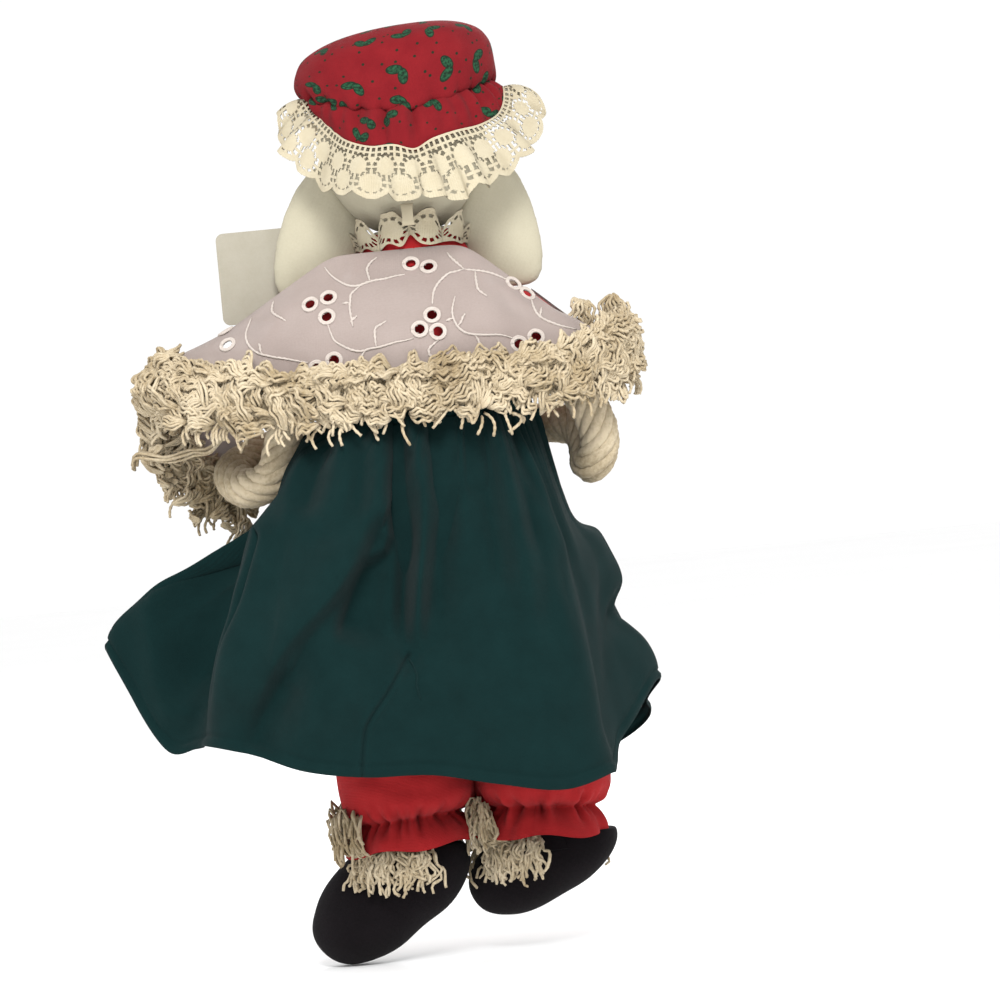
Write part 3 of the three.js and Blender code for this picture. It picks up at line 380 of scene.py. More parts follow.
class Shader:
    """A node material with a principled surface."""

    def __init__(self, name, roughness=0.9, sheen=0.0):
        self.material = bpy.data.materials.new(name)
        self.material.use_nodes = True
        self.nodes = self.material.node_tree.nodes
        self.links = self.material.node_tree.links
        self.surface = self.nodes["Principled BSDF"]
        self.surface.inputs["Roughness"].default_value = roughness
        self.surface.inputs["Specular IOR Level"].default_value = 0.06
        self.surface.inputs["Sheen Weight"].default_value = sheen

    def feed(self, socket, value):
        if isinstance(value, bpy.types.NodeSocket):
            self.links.new(value, socket)
        else:
            socket.default_value = value

    def add(self, kind, inputs=None, **settings):
        """The outputs of a new node whose inputs are fed by sockets or plain values."""
        made = self.nodes.new("ShaderNode" + kind)
        for key, value in settings.items():
            setattr(made, key, value)
        for key, value in (inputs or {}).items():
            self.feed(made.inputs[key], value)
        return made.outputs

    def coordinates(self, source):
        """Object coordinates in metres, or the cloth's own flat coordinates in millimetres."""
        return self.add("TexCoord")["Object" if source == "object" else "UV"]

    def noise(self, vector, scale, detail=3.0):
        inputs = {"Vector": vector, "Scale": scale, "Detail": detail, "Roughness": 0.55}
        return self.add("TexNoise", inputs)["Fac"]

    def bands(self, vector, direction, scale):
        inputs = {"Vector": vector, "Scale": scale, "Distortion": 0.6, "Detail Scale": 2.0}
        return self.add("TexWave", inputs, wave_type="BANDS", bands_direction=direction)["Fac"]

    def ramp(self, factor, stops):
        """A colour between two stops, each a position and a colour."""
        made = self.nodes.new("ShaderNodeValToRGB")
        for stop, (position, colour) in zip(made.color_ramp.elements, stops):
            stop.position = position
            stop.color = colour
        self.feed(made.inputs["Fac"], factor)
        return made.outputs["Color"]

    def math(self, operation, a, b=0.0):
        return self.add("Math", {0: a, 1: b}, operation=operation)["Value"]

    def vector(self, operation, a, b):
        return self.add("VectorMath", {0: a, 1: b}, operation=operation)["Vector"]

    def over(self, factor, below, above):
        return self.add("Mix", {0: factor, 6: below, 7: above}, data_type="RGBA")[2]

    def colour(self, output):
        self.feed(self.surface.inputs["Base Color"], output)

    def bump(self, height, distance):
        bumped = self.add("Bump", {"Height": height, "Strength": 1.0, "Distance": distance})
        self.feed(self.surface.inputs["Normal"], bumped["Normal"])


THREAD = 0.5  # millimetres from thread to thread
WAVE_UNIT = 0.314  # a wave texture's period at scale 1


def weave(shader, where, unit, distance, upright="Y"):
    """Threads both ways, with slubs, as a bump."""
    scale = WAVE_UNIT / (THREAD * unit)
    threads = shader.math("MAXIMUM", shader.bands(where, "X", scale), shader.bands(where, upright, scale))
    slubs = shader.noise(where, 1 / (1.1 * unit), 2.0)
    shader.bump(shader.math("ADD", threads, slubs), distance)


def woven(name, light, dark, source="uv", sheen=0.04, roughness=0.92, relief=0.00012, patch=14.0):
    """Plain-woven cotton: threads both ways in the bump, soft patches in the colour."""
    shader = Shader(name, roughness, sheen)
    where = shader.coordinates(source)
    unit = MM if source == "object" else 1.0
    patches = shader.noise(where, 1 / (patch * unit), 4.0)
    threads = shader.noise(where, 1 / (0.7 * unit), 2.0)
    tone = shader.math("ADD", shader.math("MULTIPLY", patches, 0.7), shader.math("MULTIPLY", threads, 0.3))
    shader.colour(shader.ramp(tone, [(0.32, dark), (0.68, light)]))
    weave(shader, where, unit, relief, "Z" if source == "object" else "Y")
    return shader.material


def sheer(name, light, dark, opacity):
    """Thin lawn cloth that lets a little of what is behind it show through."""
    material = woven(name, light, dark, "uv", 0.1, 0.85, 0.00005, 30.0)
    surface = material.node_tree.nodes["Principled BSDF"]
    surface.inputs["Alpha"].default_value = opacity
    return material


def yarn_material(name, light, dark):
    """Soft spun cotton: cream with browner patches at random, and fine fibres in the bump."""
    shader = Shader(name, 0.95, 0.1)
    where = shader.coordinates("object")
    broad = shader.noise(where, 60.0, 2.0)
    fine = shader.noise(where, 700.0, 2.0)
    tone = shader.math("ADD", shader.math("MULTIPLY", broad, 0.6), shader.math("MULTIPLY", fine, 0.4))
    shader.colour(shader.ramp(tone, [(0.36, dark), (0.6, light)]))
    shader.bump(shader.noise(where, 2600.0, 2.0), 0.0002)
    return shader.material


def bead_material():
    shader = Shader("polished_bead", 0.12)
    shader.surface.inputs["Specular IOR Level"].default_value = 0.5
    tone = shader.noise(shader.coordinates("object"), 300.0)
    shader.colour(shader.ramp(tone, [(0.3, srgb(10, 9, 11)), (0.7, srgb(22, 19, 21))]))
    return shader.material


SPRIG_SPACING = 18.0
DOT_SPACING = 8.0
LEAF_HALF_LENGTH = 2.6
LEAF_HALF_WIDTH = 2.2
LEAF_OUT = 2.3  # from the sprig's middle to a leaf's
LEAF_SLOPE = 0.45


def scattered(shader, where, spacing, randomness):
    """Spots about a spacing apart: a texture's outputs."""
    inputs = {"Vector": where, "Scale": 1 / spacing, "Randomness": randomness}
    return shader.add("TexVoronoi", inputs, feature="F1", voronoi_dimensions="2D")


def leaf_reach(shader, where):
    """About 1 at the edge of each sprig's two leaves and less inside them; each sprig has its own turn."""
    cells = scattered(shader, where, SPRIG_SPACING, 0.6)
    spin = shader.add("SeparateColor", {"Color": cells["Color"]})["Red"]
    away = shader.vector("SUBTRACT", where, cells["Position"])
    inputs = {"Vector": away, "Angle": shader.math("MULTIPLY", spin, TAU)}
    turned = shader.add("VectorRotate", inputs, rotation_type="Z_AXIS")["Vector"]
    split = shader.add("SeparateXYZ", {"Vector": turned})
    x = shader.math("ABSOLUTE", split["X"])
    y = shader.math("SUBTRACT", split["Y"], shader.math("MULTIPLY", x, LEAF_SLOPE))
    long = shader.math("DIVIDE", shader.math("SUBTRACT", x, LEAF_OUT), LEAF_HALF_LENGTH)
    wide = shader.math("DIVIDE", y, LEAF_HALF_WIDTH)
    return shader.math("ADD", shader.math("MULTIPLY", long, long), shader.math("MULTIPLY", wide, wide))


def printed_cotton(name, light, dark, leaf, leaf_edge):
    """Crimson cotton printed with scattered sprigs, each a pair of small leaves, and dots between."""
    shader = Shader(name, 0.9, 0.02)
    where = shader.coordinates("uv")
    ground = shader.ramp(shader.noise(where, 1 / 12.0, 4.0), [(0.3, dark), (0.7, light)])
    mottle = shader.ramp(shader.noise(where, 0.8, 2.0), [(0.4, leaf_edge), (0.6, leaf)])
    reach = leaf_reach(shader, where)
    printed = shader.over(shader.math("LESS_THAN", reach, 1.25), ground, leaf_edge)
    printed = shader.over(shader.math("LESS_THAN", reach, 0.85), printed, mottle)
    dots = scattered(shader, where, DOT_SPACING, 0.9)["Distance"]
    shader.colour(shader.over(shader.math("LESS_THAN", dots, 0.075), printed, leaf_edge))
    weave(shader, where, 1.0, 0.0001)
    return shader.material


MUSLIN = woven("muslin", srgb(176, 170, 150), srgb(166, 160, 140), "object", relief=0.00007, patch=30)
RED_PRINT = printed_cotton(
    "red_print", srgb(116, 25, 30), srgb(104, 20, 26), leaf=srgb(36, 76, 52), leaf_edge=srgb(24, 38, 28)
)
RED_CLOTH = woven("red_cloth", srgb(164, 38, 40), srgb(148, 31, 34))
GREEN_CLOTH = woven("green_cloth", srgb(12, 36, 36), srgb(9, 31, 31), sheen=0.03)
LACE = woven("lace", srgb(186, 177, 154), srgb(174, 163, 138), relief=0.00015, patch=8)
EYELET = sheer("eyelet_cloth", srgb(160, 148, 142), srgb(146, 133, 127), 0.84)
YARN = yarn_material("yarn", srgb(190, 176, 150), srgb(150, 133, 104))
ROPE = yarn_material("rope", srgb(192, 178, 152), srgb(152, 137, 110))
STITCH = woven("stitching", srgb(194, 184, 176), srgb(182, 172, 164), "object", patch=4)
BLACK_CLOTH = woven("black_cloth", srgb(20, 16, 19), srgb(13, 10, 12), "object", sheen=0.03, patch=20)
CARD = woven("card", srgb(156, 151, 138), srgb(149, 144, 130), "object", sheen=0, relief=0.00002, patch=9)
ELASTIC = woven("elastic", srgb(214, 210, 202), srgb(196, 192, 184), "object", patch=5)
BEAD = bead_material()
FLOSS = woven("floss", srgb(200, 138, 132), srgb(182, 112, 108), "object", relief=0.0002, patch=3)


# Mob cap

FRONT = -math.pi / 2


def ring_grid(columns, rows):
    """Angles round a ring, first and last the same at the front, and shares from row to row."""
    angle = np.broadcast_to(FRONT + np.linspace(0, TAU, columns + 1), (rows, columns + 1))
    share = np.broadcast_to(np.linspace(0, 1, rows)[:, None], angle.shape)
    return angle, share


def band_ring(angle, out, z):
    """Points round the cap's band, a way out from it."""
    grow = 1 + out / BAND_HALF_WIDTH
    x = BAND_HALF_WIDTH * grow * np.cos(angle)
    y = HEAD_Y + BAND_HALF_DEPTH * grow * np.sin(angle)
    return np.stack([x, y, z + 0 * angle], -1)


def pleats(angle, count, seed, sharpness=0.65):
    """Round bulges with sharp creases between them, about -0.6 to 0.4."""
    wander = 0.9 * round_ripple(angle, seed=seed, low=2, high=6)
    return np.abs(np.sin(count / 2 * angle + wander)) ** sharpness - 0.6


# How far the crown's puff stands outside the band, and its share of the way from its lower edge to its top
CROWN_PROFILE = (
    (0.8, 0.12), (2.6, 0.03), (5.2, 0.0), (7.2, 0.11), (7.7, 0.31), (6.4, 0.54), (2.8, 0.76), (-7.0, 0.92),
    (-19.0, 0.985), (-31.6, 1.0),
)
CROWN_EDGE = (178, 189, 188)  # height of its lower edge at the back, sides and front
CROWN_TOP = 213.3
CROWN_TILT = 0.1
CROWN_RISE = 30  # of the profile, before it is fitted between edge and top
CROWN_RUN = 84  # along the cloth from its lower edge to the top
CROWN_ROWS = 70


def cap_round(angle, back, side, front):
    """A height round the cap, from its values at the back, sides and front."""
    sine = np.sin(angle)
    return mix(side, np.where(sine > 0, back, front), sine * sine)


def make_crown():
    angle, _ = ring_grid(300, CROWN_ROWS)
    profile = catmull([(out, rise * CROWN_RISE) for out, rise in CROWN_PROFILE], CROWN_ROWS)
    rise = profile[:, 1:] / CROWN_RISE
    edge = cap_round(angle, *CROWN_EDGE)
    z = edge + rise * (CROWN_TOP - edge)
    run = np.linspace(0, CROWN_RUN, CROWN_ROWS)[:, None] + 0 * angle
    gathered = (1 - smoothstep(run, 4, 20)) * smoothstep(run, -3, 2)
    folds = 1.5 * pleats(angle, count=23, seed=3, sharpness=0.9)
    folds += 0.6 * round_ripple(angle, seed=5, low=14, high=34)
    dents = ripple(angle * 38, run, seed=8, size=44) * smoothstep(run, 4, 18)
    dents *= 1 - smoothstep(run, 60, 80)
    creases = ripple(angle * 38, run, seed=9, size=15) * smoothstep(run, 2, 10)
    creases *= 1 - smoothstep(run, 36, 60)
    points = band_ring(angle, profile[:, :1] + folds * gathered + 1.3 * dents + 0.35 * creases, z)
    points[..., 2] -= CROWN_TILT * points[..., 0] * smoothstep(run, 8, 30)
    points[..., 2] -= 1.2 * folds * gathered
    uv = np.stack([angle * 37, run], -1)
    piece = cloth("cap_crown_puff", points, RED_PRINT, COTTON, closed=True, uv=uv)
    place(piece, "head", "red_print", "cap_crown")


# The brim's hem and the lace's edge across the back, from the doll's left to its right: pixels of the
# photograph and a depth in millimetres; then both round the front, in millimetres
BRIM_HEM = (
    (307, 101, 6), (312, 108, 12), (322, 121, 20), (336, 135, 28), (350, 144, 35), (372, 149, 40),
    (394, 147, 43), (415, 151, 43), (433, 141, 41), (457, 133, 36), (480, 127, 29), (497, 117, 20),
    (504, 103, 12), (503, 90, 5),
)
LACE_EDGE = (
    (290, 110, 2), (280, 128, 6), (280, 152, 14), (300, 174, 24), (322, 191, 33), (360, 200, 42),
    (396, 202, 47), (428, 199, 47), (455, 203, 44), (482, 192, 38), (508, 177, 30), (529, 155, 20),
    (547, 118, 10), (522, 92, 3),
)
BRIM_FRONT = (
    (-40, -14, 184), (-28, -34, 181.3), (-8, -42.6, 179.6), (0, -43, 179.6), (8, -42.6, 179.6),
    (28, -34, 181.3), (37, -14, 185),
)
LACE_FRONT = (
    (-50, -18, 181.5), (-38, -46, 177.5), (-10, -58, 173.5), (0, -58.5, 173.5), (10, -58, 173.5),
    (38, -46, 177.5), (45, -18, 183.5),
)
GATHER_HEIGHT = (181, 190, 188)  # of the line where brim and crown meet, at the back, sides and front


def cap_line(back, front):
    """A closed line round the cap, from the middle of its front by the doll's left."""
    behind = [spot(*at) for at in back]
    middle = len(front) // 2
    return catmull([*front[middle:], *behind, *front[: middle + 1]], 900)


BRIM_LINE = cap_line(BRIM_HEM, BRIM_FRONT)
LACE_LINE = cap_line(LACE_EDGE, LACE_FRONT)


def round_cap(line, angle):
    at = (angle - FRONT) / TAU % 1.0001 * (len(line) - 1)
    return sample(line, np.arange(len(line)), at)


def brim_surface(angle, down):
    hem = round_cap(BRIM_LINE, angle)
    turn = np.arctan2(hem[..., 1] - HEAD_Y, hem[..., 0])
    gather = band_ring(turn, 1.4 + 0 * turn, cap_round(turn, *GATHER_HEIGHT))
    away = np.stack([np.cos(turn), np.sin(turn), 0 * turn], -1)
    size = 1 + 0.35 * round_ripple(angle, seed=13, low=2, high=7)
    bulge = 4.4 * size * pleats(angle, count=14, seed=11, sharpness=1.0)
    bulge += 0.7 * round_ripple(angle, seed=12, low=18, high=40)
    out = (2.6 + bulge) * np.sin(math.pi * down**0.75)
    return mix(gather, hem, down[..., None]) + away * out[..., None]


def make_brim():
    angle, down = ring_grid(520, 26)
    points = brim_surface(angle, down)
    points[..., 2] += 0.6 * ripple(angle * 45, down * 20, seed=14, size=9) * np.sin(math.pi * down)
    uv = np.stack([angle * 50 + 400, down * 24], -1)
    piece = cloth("cap_brim_gathers", points, RED_PRINT, COTTON, closed=True, uv=uv)
    place(piece, "head", "red_print", "cap_brim")


LACE_PITCH = 11.0  # from scallop to scallop
DISC_RADIUS = 3.6
HOLES_ROUND = 12  # holes round a disc
HOLE_OUT = 0.85  # from the disc's edge to the middle of a hole
HOLE_HALF = 0.72
SCALLOP_DEPTH = 2.6


def lace_pattern(u, v, width, disc_rows, header_rows, band):
    """True where thread is: rows of solid discs ringed by small holes, and a scalloped edge.

    u runs along the lace and v across it, from the gathered edge to the scallops; band is solid along them.
    """
    nearest = np.full(u.shape, 1e3)
    second = np.full(u.shape, 1e3)
    turn = np.zeros(u.shape)
    for row, middle in enumerate(disc_rows):
        shift = 0.5 + 0.5 * ((len(disc_rows) - 1 - row) % 2)
        for step in (-1, 0, 1):
            cell = np.floor(u / LACE_PITCH) + step + shift
            du = u - cell * LACE_PITCH
            dv = v - middle
            reach = np.hypot(du, dv)
            closer = reach < nearest
            second = np.where(closer, nearest, np.minimum(second, reach))
            turn = np.where(closer, np.arctan2(dv, du), turn)
            nearest = np.where(closer, reach, nearest)
    spokes = turn / TAU * HOLES_ROUND
    gap = np.abs(spokes - np.round(spokes)) > 0.21
    holes = (np.abs(nearest - DISC_RADIUS - HOLE_OUT) < HOLE_HALF) & gap
    phase = u / LACE_PITCH - np.floor(u / LACE_PITCH) - 0.5
    scallop = width - SCALLOP_DEPTH * (2 * phase) ** 2
    holes &= v < scallop - band
    header = np.zeros(u.shape, bool)
    for middle in header_rows:
        along = u / LACE_PITCH * 4
        header |= (np.abs(along - np.round(along)) < 0.29) & (np.abs(v - middle) < 0.75)
    return ~(holes | header) & (v < scallop)


def cap_lace_surface(angle, share):
    hem = round_cap(BRIM_LINE, angle)
    edge = round_cap(LACE_LINE, angle)
    across = edge - hem
    along = unit(round_cap(BRIM_LINE, angle + 0.02) - round_cap(BRIM_LINE, angle - 0.02))
    normal = unit(np.cross(across, along))
    facing = np.sum(normal * (hem - np.array([0, HEAD_Y, BAND_Z])), -1, keepdims=True)
    normal = np.where(facing < 0, -normal, normal)
    phase = 13 * angle + 1.6 * round_ripple(angle, seed=21, low=2, high=5)
    rise = 1.0 + 1.2 * np.sin(math.pi * share) + 2.5 * np.sin(phase) * share**0.8
    rise = rise + 0.6 * round_ripple(angle, seed=22, low=20, high=40) * share
    slide = -1.7 * np.sin(2 * phase) * share
    points = hem + across * (1.03 * share - 0.04)[..., None]
    return points + normal * rise[..., None] + along * slide[..., None]


def lace_ring(name, surface, count, width, cells, pattern):
    """A closed ring of lace: count scallops round, cells quads to a scallop."""
    rows = int(width / LACE_PITCH * cells)
    angle, share = ring_grid(count * cells, rows)
    points = surface(angle, share)
    u = (angle - FRONT) / TAU * count * LACE_PITCH
    v = share * width
    middle_u = (u[:-1, :-1] + u[:-1, 1:]) / 2
    middle_v = (v[:-1, :-1] + v[1:, :-1]) / 2
    keep = lace_pattern(middle_u, middle_v, width, **pattern)
    return cloth(name, points, LACE, LACE_THICKNESS, closed=True, keep=keep, uv=np.stack([u, v], -1))


def make_cap_lace():
    pattern = {"disc_rows": (9.0, 15.6), "header_rows": (1.7, 4.1), "band": 2.2}
    piece = lace_ring("cap_lace_ruffle", cap_lace_surface, 30, CAP_LACE_WIDTH, 40, pattern)
    place(piece, "head", "lace", "cap_lace")


# Collar

COLLAR_WIDTH = 13


def collar_surface(angle, share):
    humps = np.abs(np.sin(5 * (angle - math.pi / 2))) ** 0.6
    behind = smoothstep(np.sin(angle), 0.1, 0.9)
    nape = np.exp(-(((angle - math.pi / 2) / 0.11) ** 2))
    low = 125.2 + 4.2 * nape + 0.8 * round_ripple(angle, seed=31, low=6, high=14)
    arches = np.abs(np.sin(5 * (angle - math.pi / 2))) ** 1.2
    high = 131 + 8.4 * arches * mix(0.35, 1, behind) + 5.4 * nape
    high += 0.6 * round_ripple(angle, seed=32, low=14, high=30)
    z = mix(low, high, share)
    below = np.clip(1 - ((z - HEAD_Z) / HEAD_HALF_HEIGHT) ** 2, 0, 1)
    head_room = HEAD_HALF_DEPTH * np.sqrt(below) + 2.2
    radius = np.maximum(21 + 1.5 * humps, head_room) + (2.4 * humps + 1.5 * nape) * share
    return around(radius, angle, z)


def make_collar():
    pattern = {"disc_rows": (6.0,), "header_rows": (), "band": 1.1}
    piece = lace_ring("collar_ruffle", collar_surface, 10, COLLAR_WIDTH, 52, pattern)
    place(piece, "torso", "lace", "collar_lace")


def make_collar_tie():
    """A loop of narrow tape at the nape."""
    low, high = node_box("collar_tie")
    middle, half = (low + high) / 2, (high - low) / 2
    turn = np.linspace(0, TAU, 41)[:, None]
    across = np.linspace(-1, 1, 9)[None, :]
    x = middle[0] + half[0] * across * (1 - 0.12 * np.sin(turn) ** 2)
    y = middle[1] + (half[1] - 0.4) * np.sin(turn) + 0.25 * across**2
    z = middle[2] + (half[2] - 0.4) * np.cos(turn) + 0 * across
    points = np.stack(np.broadcast_arrays(x, y, z), -1)
    piece = cloth("collar_tape", points, LACE, 0.5)
    place(piece, "torso", "lace", "collar_tie")


# Skirt

WAIST = (42.6, 34.4, 56.5)  # half width, half depth and height of the skirt's gathered edge
# Ribs of the skirt's back: each one's direction at the waist in degrees, then its way down to
# the hem as the photograph's pixels with the depth in millimetres
SKIRT_RIBS = (
    (0, ((283, 496, -2), (242, 536, -6), (165, 581, -9), (117, 624, -10), (107, 650, -10))),
    (14, ((276, 510, 5), (222, 572, 0), (158, 640, -2), (131, 697, -3))),
    (27, ((268, 518, 12), (238, 570, 6), (200, 660, 3), (169, 752, 2))),
    (39, ((266, 520, 22), (246, 560, 14), (222, 650, 8), (196, 749, 7))),
    (48, ((268, 512, 36), (252, 545, 44), (224, 655, 50), (212, 747, 44))),
    (58, ((296, 530, 44), (278, 640, 52), (254, 756, 50))),
    (71, ((338, 540, 46), (318, 660, 54), (304, 771, 52))),
    (87, ((386, 545, 45), (374, 670, 50), (366, 777, 51))),
    (101, ((428, 545, 44), (430, 670, 49), (432, 775, 50))),
    (116, ((480, 545, 45), (490, 670, 51), (500, 784, 51))),
    (130, ((530, 520, 43), (556, 640, 50), (572, 788, 49))),
    (139, ((543, 500, 39), (570, 588, 45), (588, 675, 47), (608, 774, 42))),
    (147, ((550, 500, 30), (578, 590, 31), (596, 685, 30), (616, 767, 30))),
    (156, ((556, 498, 26), (588, 590, 25), (600, 660, 20), (619, 742, 18))),
    (168, ((566, 510, 12), (596, 560, 10), (608, 640, 8), (637, 711, 6))),
    (180, ((570, 512, 0), (600, 533, -4), (622, 578, -6), (611, 612, -7), (640, 642, -8), (653, 680, -9))),
)
# The seat under the skirt, by height: half widths and half depths, and the room left over it
HIP_LEVELS = (-12, 2, 30, 58)
HIP_HALF_WIDTHS = (34, 38, 44, 39)
HIP_HALF_DEPTHS = (31, 35, 37, 31)
SEAT_ROOM = 3.0
FRONT_RIBS = (204, 226, 248, 270, 292, 314, 336)
FRONT_LENGTH = 143
RIB_SAMPLES = 400  # of a rib before its rows are spaced out on it
# Creases of the back: a line of pixels from top to bottom, its height, and its half widths
# towards the picture's left and right, in millimetres
SKIRT_CREASES = (
    (((398, 425), (396, 486), (405, 522), (409, 545), (406, 600), (405, 640), (409, 660)), -6.0, 4.0, 2.8),
    (((414, 425), (420, 480), (424, 520), (421, 560), (418, 600), (416, 655)), 4.2, 3.8, 4.8),
    (((434, 425), (440, 480), (446, 510), (437, 545), (431, 590), (427, 655)), -4.6, 2.8, 14.0),
    (((380, 530), (358, 590), (342, 650)), -7.0, 4.0, 16.0),
    (((284, 680), (262, 720), (250, 760)), -3.6, 5.0, 11.0),
    (((250, 535), (234, 590), (212, 660), (204, 720)), -8.0, 24.0, 2.2),
    (((388, 425), (386, 500), (383, 545), (358, 560), (330, 599), (278, 663), (240, 740)), 5.4, 18.0, 2.4),
    (((352, 425), (340, 480), (322, 540)), 2.6, 7.0, 9.0),
    (((368, 425), (362, 480), (356, 530)), -2.6, 5.0, 5.0),
    (((331, 425), (316, 480), (300, 530)), -2.4, 6.0, 6.0),
    (((318, 425), (296, 490), (280, 540)), 2.0, 5.0, 5.0),
    (((470, 425), (486, 480), (496, 540), (502, 610)), -2.6, 4.0, 7.0),
    (((456, 425), (464, 490), (470, 560)), 2.6, 6.0, 5.0),
    (((497, 425), (512, 490), (526, 570), (534, 660)), 2.6, 8.0, 5.0),
    (((510, 425), (524, 480), (540, 560)), -2.4, 4.0, 5.0),
    (((409, 655), (470, 640), (540, 655)), -1.4, 9.0, 12.0),
    (((150, 610), (160, 680), (178, 740)), 2.6, 6.0, 12.0),
    (((405, 665), (360, 690), (320, 700), (285, 690)), 2.4, 9.0, 14.0),
)
PINCH = (409, 660)
SEAM_LINE = ((409, 655), (402, 667), (387, 693), (368, 723), (363, 750), (362, 780))


def front_rib(angle):
    """A rib of the skirt's front, which hangs in plain folds."""
    across, back = math.cos(angle), math.sin(angle)
    down = np.linspace(0, 1, 5)
    flare = down**1.3
    fold = 3.0 * math.cos(6.6 * angle) * down
    lift = 14 * smoothstep(across, -0.4, 0.4) + (52 * across**4 if across > 0 else 40 * across**8)
    knee_room = (3 + 8 * smoothstep(-back, 0.45, 0.7)) * np.sin(math.pi * down**1.3)
    x = across * (WAIST[0] + (88 if across > 0 else 36) * flare + 6 * down + fold + knee_room)
    y = back * (WAIST[1] + 33 * flare + fold + 7 * np.sin(math.pi * down))
    return np.stack([x, y, WAIST[2] - (FRONT_LENGTH - lift) * down], 1)


def skirt_ribs(rows):
    """The skirt's lines from waist to hem, all the way round."""
    lines = []
    for degrees, pixels in SKIRT_RIBS:
        angle = math.radians(degrees)
        line = [(WAIST[0] * math.cos(angle), WAIST[1] * math.sin(angle), WAIST[2])]
        line += [spot(*at) for at in pixels]
        lines.append(spaced(catmull(line, RIB_SAMPLES), rows))
    for degrees in FRONT_RIBS:
        line = front_rib(math.radians(degrees))
        lines.append(spaced(catmull(line, RIB_SAMPLES), rows))
    return np.array(lines)


def loft(ribs, columns):
    """A closed surface through ribs, by centripetal curves from rib to rib."""
    count = len(ribs)
    middle = ribs[:, int(ribs.shape[1] * 0.6)]
    gap = np.linalg.norm(np.roll(middle, -1, axis=0) - middle, axis=1) ** 0.6
    knots = np.concatenate([[0], np.cumsum(gap)])
    at = np.linspace(0, knots[-1], columns + 1)
    first = np.clip(np.searchsorted(knots, at, side="right") - 1, 0, count - 1)
    near = [first + step for step in (-1, 0, 1, 2)]
    time = [knots[k % count] + knots[-1] * (k // count) for k in near]
    rib = [ribs[k % count].transpose(1, 0, 2) for k in near]

    def between(a, b, start, end):
        share = ((at - start) / (end - start))[None, :, None]
        return mix(a, b, share)

    once = [between(rib[k], rib[k + 1], time[k], time[k + 1]) for k in range(3)]
    twice = [between(once[k], once[k + 1], time[k], time[k + 2]) for k in range(2)]
    return between(twice[0], twice[1], time[1], time[2])


def to_line(px, py, line):
    """Pixels from points to a line, below 0 on the picture's left, and the share along it."""
    best = np.full(px.shape, 1e6)
    where = np.zeros(px.shape)
    side = np.zeros(px.shape)
    for k, (a, b) in enumerate(zip(line[:-1], line[1:])):
        step = np.subtract(b, a)
        t = np.clip(((px - a[0]) * step[0] + (py - a[1]) * step[1]) / (step @ step), 0, 1)
        apart = np.hypot(px - a[0] - t * step[0], py - a[1] - t * step[1])
        closer = apart < best
        where = np.where(closer, (k + t) / (len(line) - 1), where)
        side = np.where(closer, np.sign((px - a[0]) * step[1] - (py - a[1]) * step[0]), side)
        best = np.minimum(best, apart)
    return best * side, where


def pixel(points):
    """The photograph's pixels in front of points of the doll."""
    near = 1 - points[..., 1] * MM / CAMERA_DISTANCE
    dx = points[..., 0] - AIM[0]
    dz = points[..., 2] - AIM[1]
    right = -dx * math.cos(ROLL) - dz * math.sin(ROLL)
    up = -dx * math.sin(ROLL) + dz * math.cos(ROLL)
    return 500 + right / (PIXEL * near), 500 - up / (PIXEL * near)


def softened(grid, passes):
    """A closed ring's grid of numbers, blurred."""
    ring = grid[:, :-1]
    for _ in range(passes):
        ring = (np.roll(ring, 1, axis=1) + 2 * ring + np.roll(ring, -1, axis=1)) / 4
        padded = np.pad(ring, ((1, 1), (0, 0)), mode="edge")
        ring = (padded[:-2] + 2 * ring + padded[2:]) / 4
    return np.concatenate([ring, ring[:, :1]], axis=1)


def back_creases(points, normals):
    """How far the skirt's back rises at its creases, the pinch and the seam."""
    px, py = pixel(points)
    total = np.zeros(px.shape)
    for line, height, left, right in SKIRT_CREASES:
        apart, share = to_line(px, py, catmull(line, 4 * len(line)))
        apart = apart * PIXEL
        ends = smoothstep(share, -0.2, 0.1) * (1 - smoothstep(share, 0.75, 1))
        total += height * np.exp(-((apart / np.where(apart < 0, left, right)) ** 2)) * ends
    total -= 3 * np.exp(-((np.hypot(px - PINCH[0], py - PINCH[1]) * PIXEL / 5) ** 2))
    total = 1.5 * softened(total, 1)
    apart, _ = to_line(px, py, catmull(SEAM_LINE, 30))
    apart = np.abs(apart) * PIXEL
    total += 0.5 * np.exp(-(((apart - 1.8) / 1.2) ** 2)) - 1.0 * np.exp(-((apart / 0.7) ** 2))
    return total * smoothstep(normals[..., 1], 0.1, 0.5)


def clear_of_hips(points):
    """Points moved out to where the stuffed seat leaves room for the cloth."""
    z = points[..., 2]
    half_width = np.interp(z, HIP_LEVELS, HIP_HALF_WIDTHS) + SEAT_ROOM
    half_depth = np.interp(z, HIP_LEVELS, HIP_HALF_DEPTHS) + SEAT_ROOM
    inside = np.hypot(points[..., 0] / half_width, points[..., 1] / half_depth)
    grow = np.where(z > -12, np.maximum(1, 1 / np.maximum(inside, 0.3)), 1)
    return points * np.stack([grow, grow, 1 + 0 * grow], -1)


LOOSE_THREAD = ((409, 660), (414, 667), (418, 676), (418, 688), (421, 699))


def make_loose_thread(skirt):
    """The end of the seam's thread, which hangs from the pinch."""
    back = skirt[skirt[..., 1] > 0]
    px, py = pixel(back)
    path = [back[np.argmin((px - x) ** 2 + (py - y) ** 2)] for x, y in LOOSE_THREAD]
    line = catmull(np.array(path) + [0, 0.8, 0], 40)
    piece = tubes("skirt_loose_thread", [line], 0.3, GREEN_CLOTH, 6)
    bend_with_legs(piece)


def bend_with_legs(piece):
    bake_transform(piece)


